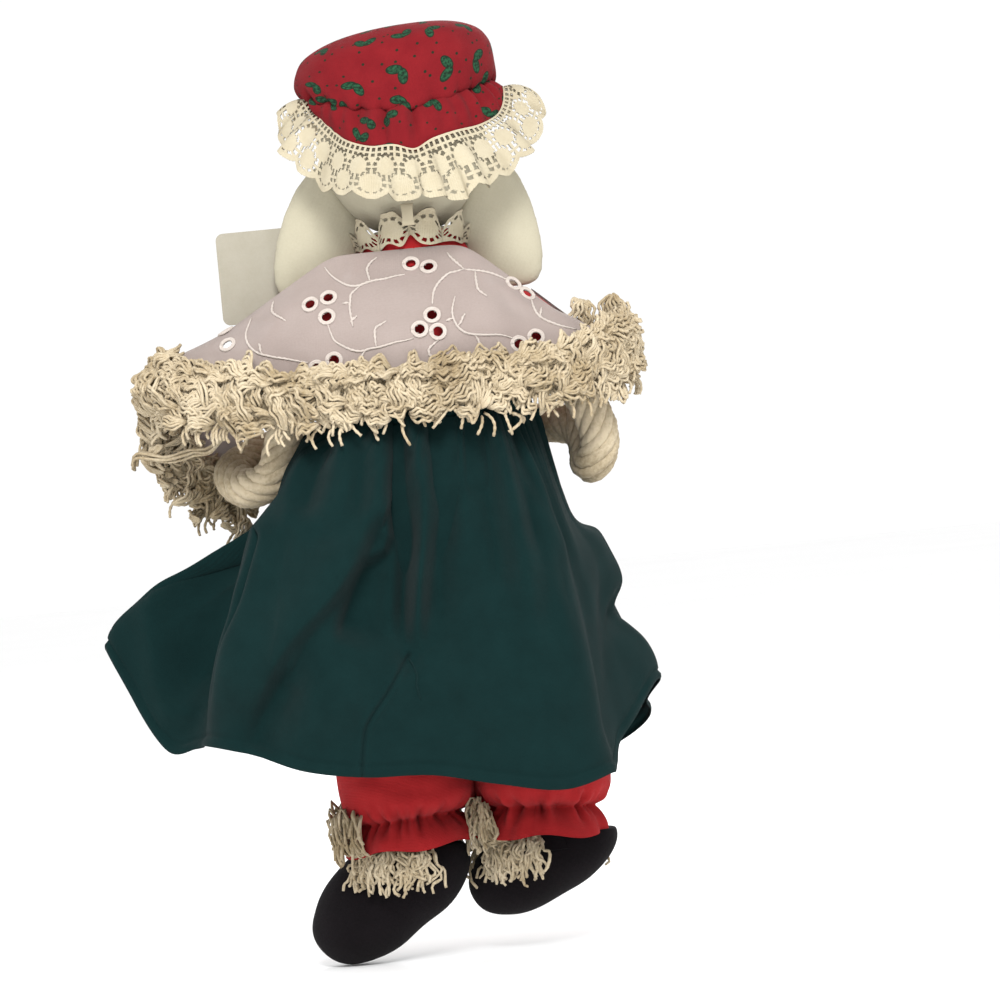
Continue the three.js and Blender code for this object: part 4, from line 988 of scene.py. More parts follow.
def make_skirt():
    columns, rows = 840, 130
    points = loft(skirt_ribs(rows), columns)
    angle, down = ring_grid(columns, rows)
    puff = smoothstep(down, 0, 0.04) * (1 - smoothstep(down, 0.1, 0.3))
    points[..., 0] += 7 * puff * smoothstep(points[..., 0], 10, 45)
    normals = ring_normals(points)
    gathers = 1.2 * pleats(angle, count=66, seed=43) * np.exp(-down * 9)
    gathers += 1.5 * round_ripple(angle, seed=44, low=18, high=40) * np.exp(-down * 3.2)
    waves = 0.8 * ripple(angle * 60, down * 140, seed=45, size=34) * smoothstep(down, 0.15, 0.6)
    crumple = 0.35 * ripple(angle * 75, down * 140, seed=47, size=13) * smoothstep(down, 0.1, 0.4)
    hem = 0.8 * np.exp(-((((1 - down) * 135 - 1.6) / 1.2) ** 2))
    hem -= 0.6 * np.exp(-((((1 - down) * 135 - 4.0) / 0.7) ** 2))
    front = smoothstep(-points[..., 1], 4, 26) * smoothstep(down, 0.02, 0.6)
    folds = (2.6 + 3.2 * round_ripple(angle, seed=49, low=11, high=19)) * front
    lift = back_creases(points, normals) + gathers + waves + crumple + hem + folds
    points = clear_of_hips(points + normals * lift[..., None])
    uv = np.stack([angle * 100, down * 150], -1)
    piece = cloth("skirt_cloth", points, GREEN_CLOTH, COTTON, closed=True, uv=uv)
    bend_with_legs(piece)
    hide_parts("skirt")
    make_loose_thread(points)


# Stole and fringe


def stole_edge(share, is_hem):
    """The stole's neck edge or hem; share runs from -1 at its right end to 1 at its left."""
    angle = np.radians(90 - share * 142)
    across = np.sign(np.cos(angle)) * np.abs(np.cos(angle)) ** 0.8
    back = np.sign(np.sin(angle)) * np.abs(np.sin(angle)) ** 0.8
    left = across > 0
    reach = np.where(left, 83, 68) + (np.where(left, 19, 11) if is_hem else 0)
    reach = reach + np.where(left & is_hem, 11, 0) * smoothstep(np.abs(share), 0.66, 0.85)
    rise = 1 if is_hem else 12
    drop = np.where(left, 36, -rise) * smoothstep(np.abs(share), 0.55, 1)
    x = across * reach
    if is_hem:
        return np.stack([x, back * 41, 73 + 12 * across**4 - drop], -1)
    slope = np.where(left, 0.58, 0.88)
    flat = np.where(left, 32, 21)
    over = np.abs(x) - flat
    fall = slope * np.log1p(np.exp(np.clip(over / 2.5, -40, 40))) * 2.5
    return np.stack([x, back * 19.6, 124 - fall - drop * 0.3], -1)


def stole_out(share):
    hem = stole_edge(share, True)
    return unit(np.stack([hem[..., 0], hem[..., 1] * 1.6, 0 * share], -1))


def stole_surface(share, down):
    top = stole_edge(share, False)
    hem = stole_edge(share, True)
    arch = np.sin(math.pi * down)
    wrinkle = 0.9 * ripple(share * 170, down * 60, seed=51, size=30)
    wrinkle += 0.35 * ripple(share * 170, down * 60, seed=52, size=11)
    bulge = (5 + 5 * smoothstep(share, 0.25, 0.7)) * arch + wrinkle * smoothstep(down, 0, 0.2)
    return mix(top, hem, down[..., None]) + stole_out(share) * bulge[..., None]


# Eyelets and stems of the whitework, at the photograph's pixels
EYELETS = (
    (411, 264), (429, 267), (310, 305), (328, 298), (327, 317), (432, 315), (419, 329), (438, 332),
    (513, 284), (527, 294), (317, 369), (334, 361), (536, 337), (519, 344), (226, 332), (228, 345),
)
STEMS = (
    ((405, 275), (370, 282), (352, 287), (335, 279), (325, 268)),
    ((370, 282), (367, 268), (377, 258)),
    ((360, 286), (351, 296), (350, 312), (353, 327)),
    ((351, 303), (342, 304)),
    ((351, 322), (357, 316)),
    ((328, 324), (335, 341), (356, 351), (370, 349), (391, 344), (415, 338)),
    ((376, 347), (375, 330), (387, 321)),
    ((366, 350), (358, 362), (357, 372)),
    ((464, 270), (447, 275), (435, 288), (432, 305)),
    ((464, 270), (453, 260), (447, 253)),
    ((464, 270), (489, 273), (508, 281)),
    ((475, 272), (477, 288), (487, 297)),
    ((455, 296), (452, 315), (461, 330), (475, 335), (500, 335), (514, 339)),
    ((454, 318), (446, 321)),
    ((458, 326), (465, 314)),
    ((475, 335), (483, 351)),
    ((531, 300), (538, 316), (559, 326), (576, 330)),
    ((540, 318), (541, 308)),
    ((252, 318), (246, 337), (254, 351), (268, 356), (290, 360), (308, 363)),
    ((274, 302), (273, 313), (286, 321)),
    ((262, 354), (259, 344)),
    ((438, 340), (428, 352), (440, 362)),
)
EYELET_RADIUS = 2.1


def on_stole():
    """Points of the stole's back with their normals and photograph's pixels."""
    share = np.broadcast_to(np.linspace(-0.62, 0.62, 700), (160, 700))
    down = np.broadcast_to(np.linspace(0, 1, 160)[:, None], share.shape)
    points = stole_surface(share, down)
    normals = grid_normals(points)
    normals *= np.sign(np.sum(normals * stole_out(share), axis=-1, keepdims=True))
    px, py = pixel(points)
    return points.reshape(-1, 3), normals.reshape(-1, 3), px.ravel(), py.ravel()


def find(surface, at):
    points, normals, px, py = surface
    index = np.argmin((px - at[0]) ** 2 + (py - at[1]) ** 2)
    return points[index], normals[index]


def make_whitework(surface, centres):
    rings = {"left": [], "right": []}
    turn = np.linspace(0, TAU, 25)
    for centre, normal in centres:
        first = unit(np.cross(normal, [0, 0, 1.0]))
        other = np.cross(normal, first)
        circle = first * np.cos(turn)[:, None] + other * np.sin(turn)[:, None]
        side = "left" if centre[0] > 0 else "right"
        for size in (EYELET_RADIUS + 0.35, EYELET_RADIUS + 1.0):
            rings[side].append(centre + circle * size + normal * 0.3)
    stems = {"left": [], "right": []}
    for line in STEMS:
        path = catmull([find(surface, at)[0] for at in catmull(line, 2 * len(line))], 40)
        normal = np.mean([find(surface, at)[1] for at in line], axis=0)
        stems["left" if path[:, 0].mean() > 0 else "right"].append(path + normal * 0.35)
    for side in SIDES:
        stitched = [
            tubes(f"eyelet_rings_{side}", rings[side], 0.5, STITCH, 8, 2, 0.12, 6.0),
            tubes(f"stems_{side}", stems[side], 0.5, STITCH, 6, 2, 0.3, 3.2, taper=True),
        ]
        whitework = joined(f"whitework_{side}", stitched)
        drape_with_arm(whitework)


STOLE_SPANS = {"left": (0, 1), "right": (-1, 0)}


def make_stole():
    surface = on_stole()
    centres = [find(surface, at) for at in EYELETS]
    make_whitework(surface, centres)
    columns = 330
    for side, (start, end) in STOLE_SPANS.items():
        share = np.broadcast_to(np.linspace(start, end, columns), (104, columns))
        down = np.broadcast_to(np.linspace(0, 1, 104)[:, None], share.shape)
        points = stole_surface(share, down)
        step = 1e-4
        along = stole_surface(share + step, down) - stole_surface(share - step, down)
        fall = stole_surface(share, down + step) - stole_surface(share, down - step)
        normals = unit(np.cross(along, fall))
        keep = np.ones((103, columns - 1), bool)
        for centre, _ in centres:
            away = points - centre
            reach = np.linalg.norm(away, axis=-1)
            edge = np.abs(reach - EYELET_RADIUS) < 0.32
            points[edge] = (centre + away * (EYELET_RADIUS / (reach + 1e-9))[..., None])[edge]
            middle = (points[:-1, :-1] + points[1:, 1:]) / 2
            keep &= np.linalg.norm(middle - centre, axis=-1) > EYELET_RADIUS * 0.97
        uv = np.stack([share * 190, down * 60], -1)
        piece = cloth(f"stole_{side}", points, EYELET, LAWN, keep=keep, uv=uv, normals=normals)
        drape_with_arm(piece)
        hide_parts("stole")


def drape_with_arm(piece):
    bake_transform(piece)


LOCK = 5  # strands that lie side by side
STRAND_STEPS = 15
TUFT_LOCKS = 4


def locks(start, end, out, rng, bulge):
    """Locks of yarn from start points to end points, bowed outwards and crimped."""
    count = len(start)
    t = np.linspace(0, 1, STRAND_STEPS)[None, None, :, None]
    bow = np.sin(math.pi * t)
    spread = (np.arange(LOCK) - (LOCK - 1) / 2)[None, :, None, None] * 1.15
    spread = spread + rng.normal(0, 0.5, (count, LOCK, 1, 1))
    start, end, out = (values[:, None, None] for values in (start, end, out))
    run = end - start
    side = unit(np.cross(out, run))
    high = bulge * rng.uniform(0.6, 1.35, (count, 1, 1, 1)) + rng.normal(0, 0.6, (count, LOCK, 1, 1))
    phase = rng.uniform(0, TAU, (count, 1, 1, 1)) + rng.normal(0, 0.5, (count, LOCK, 1, 1))
    crimp = rng.uniform(1.2, 2.8, (count, 1, 1, 1)) * TAU * t + phase
    curve = rng.normal(0, 2.2, (count, 1, 1, 1)) * bow
    paths = start + run * t + out * high * bow**0.6 + side * (spread * bow**0.4 + curve)
    paths = paths + (side * np.sin(crimp) + out * 0.6 * np.cos(crimp)) * 0.9 * bow
    return paths.reshape(-1, STRAND_STEPS, 3)


def cut_ends(base, out, along, rng, length):
    """Ends of yarn that stick out of a base and droop."""
    count = len(base)
    t = np.linspace(0, 1, STRAND_STEPS)[None, :, None]
    long = (length * rng.uniform(0.5, 1.35, count))[:, None, None]
    sway = rng.normal(0, 0.4, count)[:, None, None]
    bend = rng.normal(0, 1.6, count)[:, None, None]
    paths = base[:, None] + out[:, None] * long * 0.5 * np.sin(2.2 * t)
    paths = paths + along[:, None] * (long * sway * t + bend * np.sin(math.pi * t))
    paths[..., 2] -= (long * t**1.3)[..., 0]
    return paths


FRINGE_LOCKS = {"left": 235, "right": 165}
FRINGE_SEED = {"left": 61, "right": 62}
FRINGE_RISE = 5  # how far the fringe reaches above the stole's hem
FRINGE_FALL = 19  # and below it
TAIL = (92, 104)  # X over which the left tail's locks grow bolder
LOOSE_END = 0.5  # share of the stole's half from which it hangs free, with fringe on both faces


def fringe_spots(rng, side, count, high, low, loose=False):
    """Random spots on the fringe's band, with the ways out of it and along it."""
    sign = SIDES[side]
    share = sign * rng.uniform(LOOSE_END if loose else 0, 1, count)
    level = rng.uniform(low, high, count)
    out = stole_out(share)
    along = np.cross(out, [0.0, 0.0, 1.0])
    spots = stole_edge(share, True) + out * 2.0
    spots[:, 2] += level
    return spots, -out if loose else out, along


def fringe_locks(rng, side, count, loose=False):
    """Locks that hang from the band, lie along it and stand up from its crest."""
    upright, out, along = fringe_spots(rng, side, count, FRINGE_RISE, -2, loose)
    ends = upright + along * rng.normal(0, 4.5, (count, 1))
    ends[:, 2] -= rng.uniform(7, FRINGE_FALL, count)
    tail = 1 + 0.9 * smoothstep(upright[:, 0], *TAIL)[:, None, None, None]
    hanging = locks(upright, ends, out, rng, 4.6 * tail)
    flat, out, along = fringe_spots(rng, side, count, FRINGE_RISE - 2, 3 - FRINGE_FALL, loose)
    ends = flat + along * (rng.choice([-1, 1], count) * rng.uniform(5, 11, count))[:, None]
    ends[:, 2] += rng.normal(-1, 3, count)
    lying = locks(flat, ends, out, rng, 5.0)
    crest, out, along = fringe_spots(rng, side, count, 3, -1, loose)
    ends = crest + along * (rng.choice([-1, 1], count) * rng.uniform(5, 10, count))[:, None]
    upward = unit(out + np.array([0, 0, 0.9]))
    rising = locks(crest, ends, upward, rng, 4.4)
    return np.concatenate([hanging, lying, rising])


# Tufts that stand up from the fringe: pixel of the foot, depth, height and width
FRINGE_TUFTS = {"left": (), "right": ((583, 334, 4, 12, 7), (617, 330, -4, 13, 3))}
# A lock that has worked loose, as pixels and depths
LONG_LOCK = (
    (232, 418, 22), (227, 434, 20), (212, 450, 14), (194, 452, 8), (169, 459, 0), (140, 456, -8),
    (136, 468, -12),
)


def standing_tuft(rng, px, py, y, height, width):
    """A few locks that stand close together."""
    count = TUFT_LOCKS
    foot = np.array(spot(px, py, y)) + rng.uniform(-0.5, 0.5, (count, 3)) * [width, 5, 2]
    tip = foot + np.array([0, 0, height]) + rng.normal(0, 1.5, (count, 3))
    return locks(foot, tip, np.tile([0.0, 1.0, 0.0], (count, 1)), rng, 2.5)


def long_lock(rng):
    """Yarn that has worked loose and lies across the tail of the fringe."""
    line = catmull([spot(*at) for at in LONG_LOCK], 30)
    wave = np.sin(np.linspace(0, 9, 30))[:, None]
    return [line + rng.normal(0, 0.9, 3) + wave * rng.normal(0, 0.5, 3) for _ in range(5)]


def make_fringe():
    for side, (start, end) in STOLE_SPANS.items():
        rng = np.random.default_rng(FRINGE_SEED[side])
        groups = [fringe_locks(rng, side, FRINGE_LOCKS[side])]
        groups.append(fringe_locks(rng, side, FRINGE_LOCKS[side] // 4, loose=True))
        low, out, along = fringe_spots(rng, side, int(0.7 * FRINGE_LOCKS[side]), -4, -FRINGE_FALL)
        groups.append(cut_ends(low, out, along, rng, 7.5))
        groups += [standing_tuft(rng, *tuft) for tuft in FRINGE_TUFTS[side]]
        parts = [tubes(f"fringe_{side}_loops", np.concatenate(groups), YARN_RADIUS, YARN, *YARN_LAY)]
        if side == "left":
            parts.append(tubes("fringe_left_lock", long_lock(rng), YARN_RADIUS, YARN, *YARN_LAY))
        spine = np.linspace(start, end, 60)
        cores = []
        for rise in (1, -3, -7, -11):
            cores.append(stole_edge(spine, True) + stole_out(spine) * 1.6 + np.array([0, 0, rise]))
        parts.append(tubes(f"fringe_{side}_header", cores, 2.1, YARN, 14, 5, 0.12, 0.6))
        piece = joined(f"fringe_{side}", parts)
        drape_with_arm(piece)
        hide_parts("stole_fringe")


# Arms

# Each arm's steps from its shoulder, X outwards: the left one hangs close to the skirt, then hooks out
ARM_STEPS = {
    "left": (
        (-8, 0, 1.5), (6, 3, -15), (13, 6, -33), (19, 5, -48), (31, -4, -52), (36, -20, -44),
        (14, -38, -36), (-27.28, -56, -35),
    ),
    "right": (
        (-8, 0, 1.5), (10, 1, -12.1), (23, 2, -41.25), (19, -5, -55), (14, -20, -39), (-27.28, -56, -35),
    ),
}


def arm_line(side, sign):
    steps = np.array(ARM_STEPS[side]) + SHOULDER
    return catmull(steps * [sign, 1, 1], 200)


ROPE_STRANDS = 7
STRAND_RADIUS = 2.7
CORE_RADIUS = 4.4
ROPE_LAY = 38  # one turn of a strand round the rope
HAND_LENGTH = 15
BINDING_LENGTH = 5
BINDING_TURNS = 8
HAND_SEED = {"left": 71, "right": 72}
FRAY_STRANDS = 150
FRAY_STEPS = 12


def make_arms():
    for side, sign in SIDES.items():
        line = arm_line(side, sign)
        _, normal, other = (part[0] for part in frames(line[None]))
        length = np.sum(np.linalg.norm(np.diff(line, axis=0), axis=1))
        run = np.linspace(0, length, len(line))
        bound = length - HAND_LENGTH - BINDING_LENGTH
        rope = run < bound + BINDING_LENGTH
        strands = []
        for k in range(ROPE_STRANDS):
            turn = run / ROPE_LAY * TAU + k * TAU / ROPE_STRANDS
            pinch = ROPE_RADIUS - STRAND_RADIUS - 1.8 * smoothstep(run, bound - 4, bound + 2)
            offset = normal * np.cos(turn)[:, None] + other * np.sin(turn)[:, None]
            strands.append((line + offset * pinch[:, None])[rope])
        twist = tubes(f"rope_{side}_strands", strands, STRAND_RADIUS, ROPE, *STRAND_LAY)
        core = tubes(f"rope_{side}_core", [line[rope]], CORE_RADIUS, ROPE, 16)
        piece = joined(f"rope_{side}", [twist, core])
        place(piece, f"arm_{side}", "cotton_rope", f"arm_{side}")
        make_binding(side, line, normal, other, run, bound)
        make_hand(side, line, normal, other, run, length)


def make_binding(side, line, normal, other, run, bound):
    """Thread wound round the rope just behind the hand."""
    turn = np.linspace(0, BINDING_TURNS * TAU, 200)
    at = np.linspace(bound - 0.5, bound + BINDING_LENGTH, 200)
    centre, first, second = (sample(values, run, at) for values in (line, normal, other))
    coil = centre + (first * np.cos(turn)[:, None] + second * np.sin(turn)[:, None]) * 6.9
    piece = tubes(f"binding_{side}", [coil], 0.5, STITCH, 8, 2, 0.15, 3.0)
    place(piece, f"arm_{side}", "binding_thread", f"hand_binding_{side}")


def make_hand(side, line, normal, other, run, length):
    """The rope's frayed end."""
    rng = np.random.default_rng(HAND_SEED[side])
    at = np.linspace(length - HAND_LENGTH - 3, length, FRAY_STEPS)
    centre, first, second = (sample(values, run, at) for values in (line, normal, other))
    strands = []
    for _ in range(FRAY_STRANDS):
        spin, size = rng.uniform(0, TAU), rng.uniform(0, 1) ** 0.5
        flare = mix(5.4, rng.uniform(7.0, 9.4), np.linspace(0, 1, FRAY_STEPS) ** 1.3)[:, None] * size
        shift = (first * math.cos(spin) + second * math.sin(spin)) * flare
        strands.append(centre + shift + rng.normal(0, 0.35, (FRAY_STEPS, 3)))
    piece = tubes(f"rope_end_{side}", strands, 0.75, ROPE, 6, 2, 0.2, 2.0)
    place(piece, f"arm_{side}", "cotton_rope", f"hand_{side}")


# Puffed sleeves under the stole, as X, Y, Z and radius from the shoulder seam to the gathered end
SLEEVES = {
    "left": (
        (15, 1, 103, 8), (29, 1, 102, 11), (37, 1, 98.5, 13), (44, 2, 93, 14.5), (51, 4, 82, 14),
        (54, 5, 72, 10.5), (56, 6, 67, 11),
    ),
    "right": (
        (15, 1, 99, 7.5), (28, 1, 98, 9.5), (34, 1, 95.5, 11), (41, 2, 91, 12), (48, 3, 82, 12.5),
        (53, 3, 74, 10.5), (55, 3, 69, 11),
    ),
}


def make_sleeves():
    for side, sign in SIDES.items():
        fine = catmull(SLEEVES[side], 60)
        line = fine[:, :3] * [sign, 1, 1]
        _, normal, other = (part[0] for part in frames(line[None]))
        angle, share = ring_grid(160, 60)
        gathered = 0.25 + smoothstep(np.abs(share - 0.45), 0.1, 0.5)
        folds = 0.9 * pleats(angle, count=26, seed=75) * gathered
        size = fine[:, 3][:, None] + folds + 0.5 * round_ripple(angle, seed=76, low=3, high=8)
        ring = normal[:, None] * np.cos(angle)[..., None] + other[:, None] * np.sin(angle)[..., None]
        points = line[:, None] + ring * size[..., None]
        uv = np.stack([angle * 25, share * 50], -1)
        piece = cloth(f"bodice_sleeve_{side}", points, RED_CLOTH, COTTON, closed=True, uv=uv)
        place(piece, f"arm_{side}", "red_print")


# Legs

BLOOMER_SEED = {"left": 81, "right": 85}
# Radius of a bloomer leg and its depth below the hip, from its top to its frilled hem
BLOOMER_PROFILE = (
    (4.0, -11.6), (9.8, -7.6), (12.6, 0.0), (15.4, 7.0), (18.0, 15.0), (22.5, 30.0), (25.6, 52.0),
    (27.0, 70.0), (27.6, 80.0), (27.0, 87.0), (23.6, 91.6), (18.4, 94.0), (20.4, 96.0), (23.4, 99.0),
    (25.2, 102.5), (26.0, 106.0),
)
GATHER_DEPTH = 94.0  # where elastic draws it in


def bloomer_surface(angle, share, seed, sign):
    profile = catmull(BLOOMER_PROFILE, share.shape[0])
    radius = profile[:, :1] + 0 * angle
    depth = profile[:, 1:] + 0 * angle
    tight = np.exp(-(((depth - GATHER_DEPTH) / np.where(depth < GATHER_DEPTH, 4.6, 4.4)) ** 2))
    folds = pleats(angle, count=17, seed=seed, sharpness=0.8)
    folds += 0.45 * round_ripple(angle, seed=seed + 1, low=12, high=34)
    frill = smoothstep(depth, 95, 103)
    waves = np.sin(7 * angle + 1.5 * round_ripple(angle, seed=seed + 3, low=2, high=4))
    puffs = ripple(angle * 24, depth * 0.9, seed=seed + 2, size=26)
    creases = ripple(angle * 24, depth * 1.6, seed=seed + 5, size=10)
    radius = radius + 2.8 * folds * tight + (1.1 * puffs + 0.25 * creases) * (1 - tight) + waves * frill
    sag = 1.8 * sign * np.cos(angle + 0.6 * sign) * smoothstep(depth, 70, 92)
    depth = depth + sag + np.sin(5 * angle + seed) * frill
    return around(radius, angle, -depth)


# Each boot's heel and toe from its ankle, and half its width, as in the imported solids
BOOTS = {
    "left": ((-17.5, 4, 1.5), (41, -16, -43.5), 20.5),
    "right": ((-26, 4, 2.5), (31, -14, -29), 17.5),
}
BOOT_SHAPE = (
    (0, 0.003), (0.015, 0.36), (0.06, 0.66), (0.16, 0.89), (0.32, 1), (0.5, 1.01), (0.66, 0.97),
    (0.8, 0.85), (0.9, 0.66), (0.96, 0.46), (0.99, 0.25), (1, 0.003),
)
BOOT_SEED = {"left": 9, "right": 19}
ANKLE_DEPTH = 102


def ankle_of(side):
    return np.array(HIP[side], float) - [0, 0, ANKLE_DEPTH]


def boot_points(side):
    heel, toe, half = BOOTS[side]
    ankle = ankle_of(side)
    start, end = ankle + heel, ankle + toe
    along = unit(end - start)
    hint = np.array([0.5, 0, 1.0])
    across = unit(hint - along * (hint @ along))
    deep = np.cross(along, across)
    shape = catmull(BOOT_SHAPE, 60)
    angle, _ = ring_grid(72, 60)
    centre = start + (end - start) * shape[:, :1]
    size = half * shape[:, 1][:, None]
    wide = across * (size * np.cos(angle))[..., None]
    points = centre[:, None] + wide + deep * (size * 0.85 * np.sin(angle))[..., None]
    lumps = 0.5 * ripple(points[..., 0] * 2, points[..., 2] * 2, seed=BOOT_SEED[side], size=30)
    points += (points - centre[:, None]) / (size[..., None] + 1) * lumps[..., None]
    top = ankle[2] - 3.2
    points[..., 2] = top - np.log1p(np.exp((top - points[..., 2]) / 1.4)) * 1.4
    return points


def make_boot(side):
    points = boot_points(side)
    rows, columns = points.shape[:2]
    faces = grid_faces(rows, columns)
    foot = build(f"boot_{side}_foot", points.reshape(-1, 3), [faces], BLACK_CLOTH)
    angle, share = ring_grid(60, 12)
    ring = around(14 + 1.5 * share**2, angle, -0.3 - 9 * share) + ankle_of(side)
    shaft = cloth(f"boot_{side}_shaft", ring, BLACK_CLOTH, 1.0, closed=True)
    boot = joined(f"boot_{side}_stuffed", [foot, shaft])
    place(boot, f"leg_{side}", "black_cloth", f"boot_{side}")
    flat = points.reshape(-1, 3)
    return BVHTree.FromPolygons(flat.tolist(), faces.tolist()), flat.mean(axis=0)


def pushed_out(tree, middle, path, room):
    """A path kept clear of a round solid by a little room."""
    kept = []
    for at in path:
        spot_on, normal, _, _ = tree.find_nearest(Vector(at))
        spot_on = np.array(spot_on)
        out = np.array(normal)
        out = out if out @ (spot_on - middle) > 0 else -out
        kept.append(at if (at - spot_on) @ out > room else spot_on + out * room)
    return np.array(kept)


def cuff_strand(rng):
    """A strand that hangs from under the frill: steps outwards, sideways and up from the ankle."""
    length = rng.uniform(8, 16)
    sway = rng.normal(0, 2.6)
    end = sway + rng.normal(0, 2.0)
    return [
        (15.5, 0, -3.0),
        (19.5, sway * 0.2, -4.0),
        (23.5, sway * 0.6, -6.0 - length * 0.2),
        (24.5, sway, -5.0 - length * 0.6),
        (24.0, end, -5.0 - length),
    ]


def cuff_tuft(rng):
    """A strand that stands up outside the frill and falls over, in the same steps."""
    high = rng.uniform(4, 16)
    sway = rng.normal(0, 2.4)
    wide = rng.uniform(0, 3.5)
    end = high - rng.uniform(8, 14)
    return [
        (19.0, 0, -3.5),
        (25.5 + wide * 0.5, sway * 0.4, -3.0),
        (27.0 + wide, sway * 0.8, high * 0.6),
        (27.5 + wide, sway * 1.2, high),
        (29.0 + wide, sway * 1.6, high - 5),
        (28.5 + wide, sway * 1.8, end),
    ]


CUFF_SEED = {"left": 91, "right": 92}
CUFF_END = {"left": 108, "right": 80}  # degrees from the side to where the hanging strands end


def make_cuff(side, tree, middle):
    """Strands of fringe sewn round the ankle: tufts on the outside, the rest over the boot."""
    rng = np.random.default_rng(CUFF_SEED[side])
    ankle = ankle_of(side)
    hanging = np.concatenate([rng.uniform(5, CUFF_END[side], 78), rng.uniform(205, 335, 50)])
    tufts = rng.uniform(-45, 42, 80)
    crimps = np.sin(np.linspace(0, 2.5 * TAU, 16))[:, None]
    paths = []
    for make, turns in ((cuff_strand, hanging), (cuff_tuft, tufts)):
        for turn in np.radians(turns):
            out, sideways, up = np.array(make(rng)).T
            steps = around(out, turn, up) + sideways[:, None] * [-math.sin(turn), math.cos(turn), 0]
            path = catmull(steps + rng.normal(0, 0.9, steps.shape), 16) + ankle
            for crimp in (crimps, np.roll(crimps, 3, axis=0)):
                path = path + crimp * rng.normal(0, 0.6, 3)
            paths.append(pushed_out(tree, middle, path, YARN_RADIUS + rng.uniform(0.1, 2.0)))
    piece = tubes(f"boot_fringe_{side}", paths, YARN_RADIUS, YARN, *YARN_LAY)
    place(piece, f"leg_{side}", "yarn", f"boot_cuff_{side}")


def make_legs():
    for side, sign in SIDES.items():
        body = f"leg_{side}"
        angle, share = ring_grid(320, 96)
        points = bloomer_surface(angle, share, BLOOMER_SEED[side], sign) + np.array(HIP[side], float)
        uv = np.stack([angle * 40, share * 110], -1)
        bloomer = cloth(f"bloomer_{side}_cloth", points, RED_CLOTH, COTTON, closed=True, uv=uv)
        place(bloomer, body, "red_cloth", f"bloomer_{side}")
        leg = stuffed(f"leg_{side}_stuffed", body, MUSLIN, voxel=2.0, smoothing=8, lump=0.3, seed=5)
        place(leg, body, "muslin", body)
        make_cuff(side, *make_boot(side))


# Body, head and ears

BODICE = (60.5, 121)
NECKBAND = (117, 131)
EAR_ROOT = (33.5, -2, 161)
EAR_INSET = {"left": 5.0, "right": 2.0}
EAR_SPREAD = {"left": math.radians(24), "right": math.radians(14)}


def make_body():
    piece = stuffed("torso_stuffed", "torso", MUSLIN, voxel=1.6, smoothing=3, lump=0.1, seed=2)
    place(piece, "torso", "muslin", "torso")


def surface_tree(name):
    bpy.context.view_layer.update()
    return BVHTree.FromObject(bpy.data.objects[name], bpy.context.evaluated_depsgraph_get())


def torso_radius(angle, z):
    """How far the stuffed torso reaches at each angle and height."""
    tree = surface_tree("torso_stuffed")
    radius = np.empty(angle.shape)
    for at in np.ndindex(angle.shape):
        way = Vector((math.cos(angle[at]), math.sin(angle[at]), 0))
        hit = tree.ray_cast(way * 0.2 + Vector((0, 0, z[at] * MM)), -way)[0]
        radius[at] = hit.xy.length / MM if hit else 16
    return radius


def make_bodice():
    """Red cloth close round the torso, gathered at the waist and neck, and the band at its neck."""
    angle, share = ring_grid(240, 50)
    z = mix(BODICE[0], BODICE[1], share)
    gathered = np.exp(-share * 7) + np.exp(-(1 - share) * 9)
    folds = 0.7 * pleats(angle, count=44, seed=95) * gathered
    folds += 0.4 * ripple(angle * 30, z, seed=96, size=16)
    tuck = 1.6 * (1 - smoothstep(share, 0.04, 0.2))
    points = around(torso_radius(angle, z) + 1.9 - tuck + folds * (1 - tuck / 2), angle, z)
    piece = cloth("bodice_cloth", points, RED_CLOTH, COTTON, closed=True)
    place(piece, "torso", "red_print", "bodice")
    angle, share = ring_grid(120, 14)
    z = mix(NECKBAND[0], NECKBAND[1], share)
    ribs = 0.25 * np.sin(40 * angle) * np.sin(math.pi * share)
    band = around(torso_radius(angle, z) + 2.2 + ribs, angle, z)
    neckband = cloth("bodice_neckband", band, RED_CLOTH, 0.8, closed=True)
    place(neckband, "torso", "red_print", "bodice")


def make_seat():
    """The bloomers' seat, red cloth close round the lower torso."""
    low, high = node_box("bloomer_seat")
    angle, share = ring_grid(200, 36)
    z = mix(high[2], low[2] - 1, share)
    folds = 0.4 * np.abs(pleats(angle, count=36, seed=97)) * np.exp(-share * 6)
    folds += 0.25 * ripple(angle * 36, z, seed=98, size=18)
    points = around(torso_radius(angle, np.maximum(z, low[2] + 1)) + 1.1 + folds, angle, z)
    piece = cloth("bloomer_seat_cloth", points, RED_CLOTH, COTTON, closed=True)
    place(piece, "torso", "red_cloth", "bloomer_seat")


# The mouth: lines of X and Z from the nose's lower edge
MOUTH = (((0, 0), (0, -3), (0, -6)), ((0, -6), (-3.5, -8.6), (-8, -7)), ((0, -6), (3.5, -8.6), (8, -7)))


def make_mouth():
    tree = surface_tree("head_stuffed")
    low, high = node_box("nose")
    lines = []
    for line in MOUTH:
        path = []
        for x, z in catmull(line, 16):
            start = Vector(((low[0] + high[0]) / 2 + x, -200, low[2] + 0.5 + z)) * MM
            path.append(np.array(tree.ray_cast(start, Vector((0, 1, 0)))[0]) / MM - [0, 0.3, 0])
        lines.append(path)
    piece = tubes("mouth_stitches", lines, 0.5, FLOSS, *FLOSS_LAY)
    place(piece, "head", "floss")


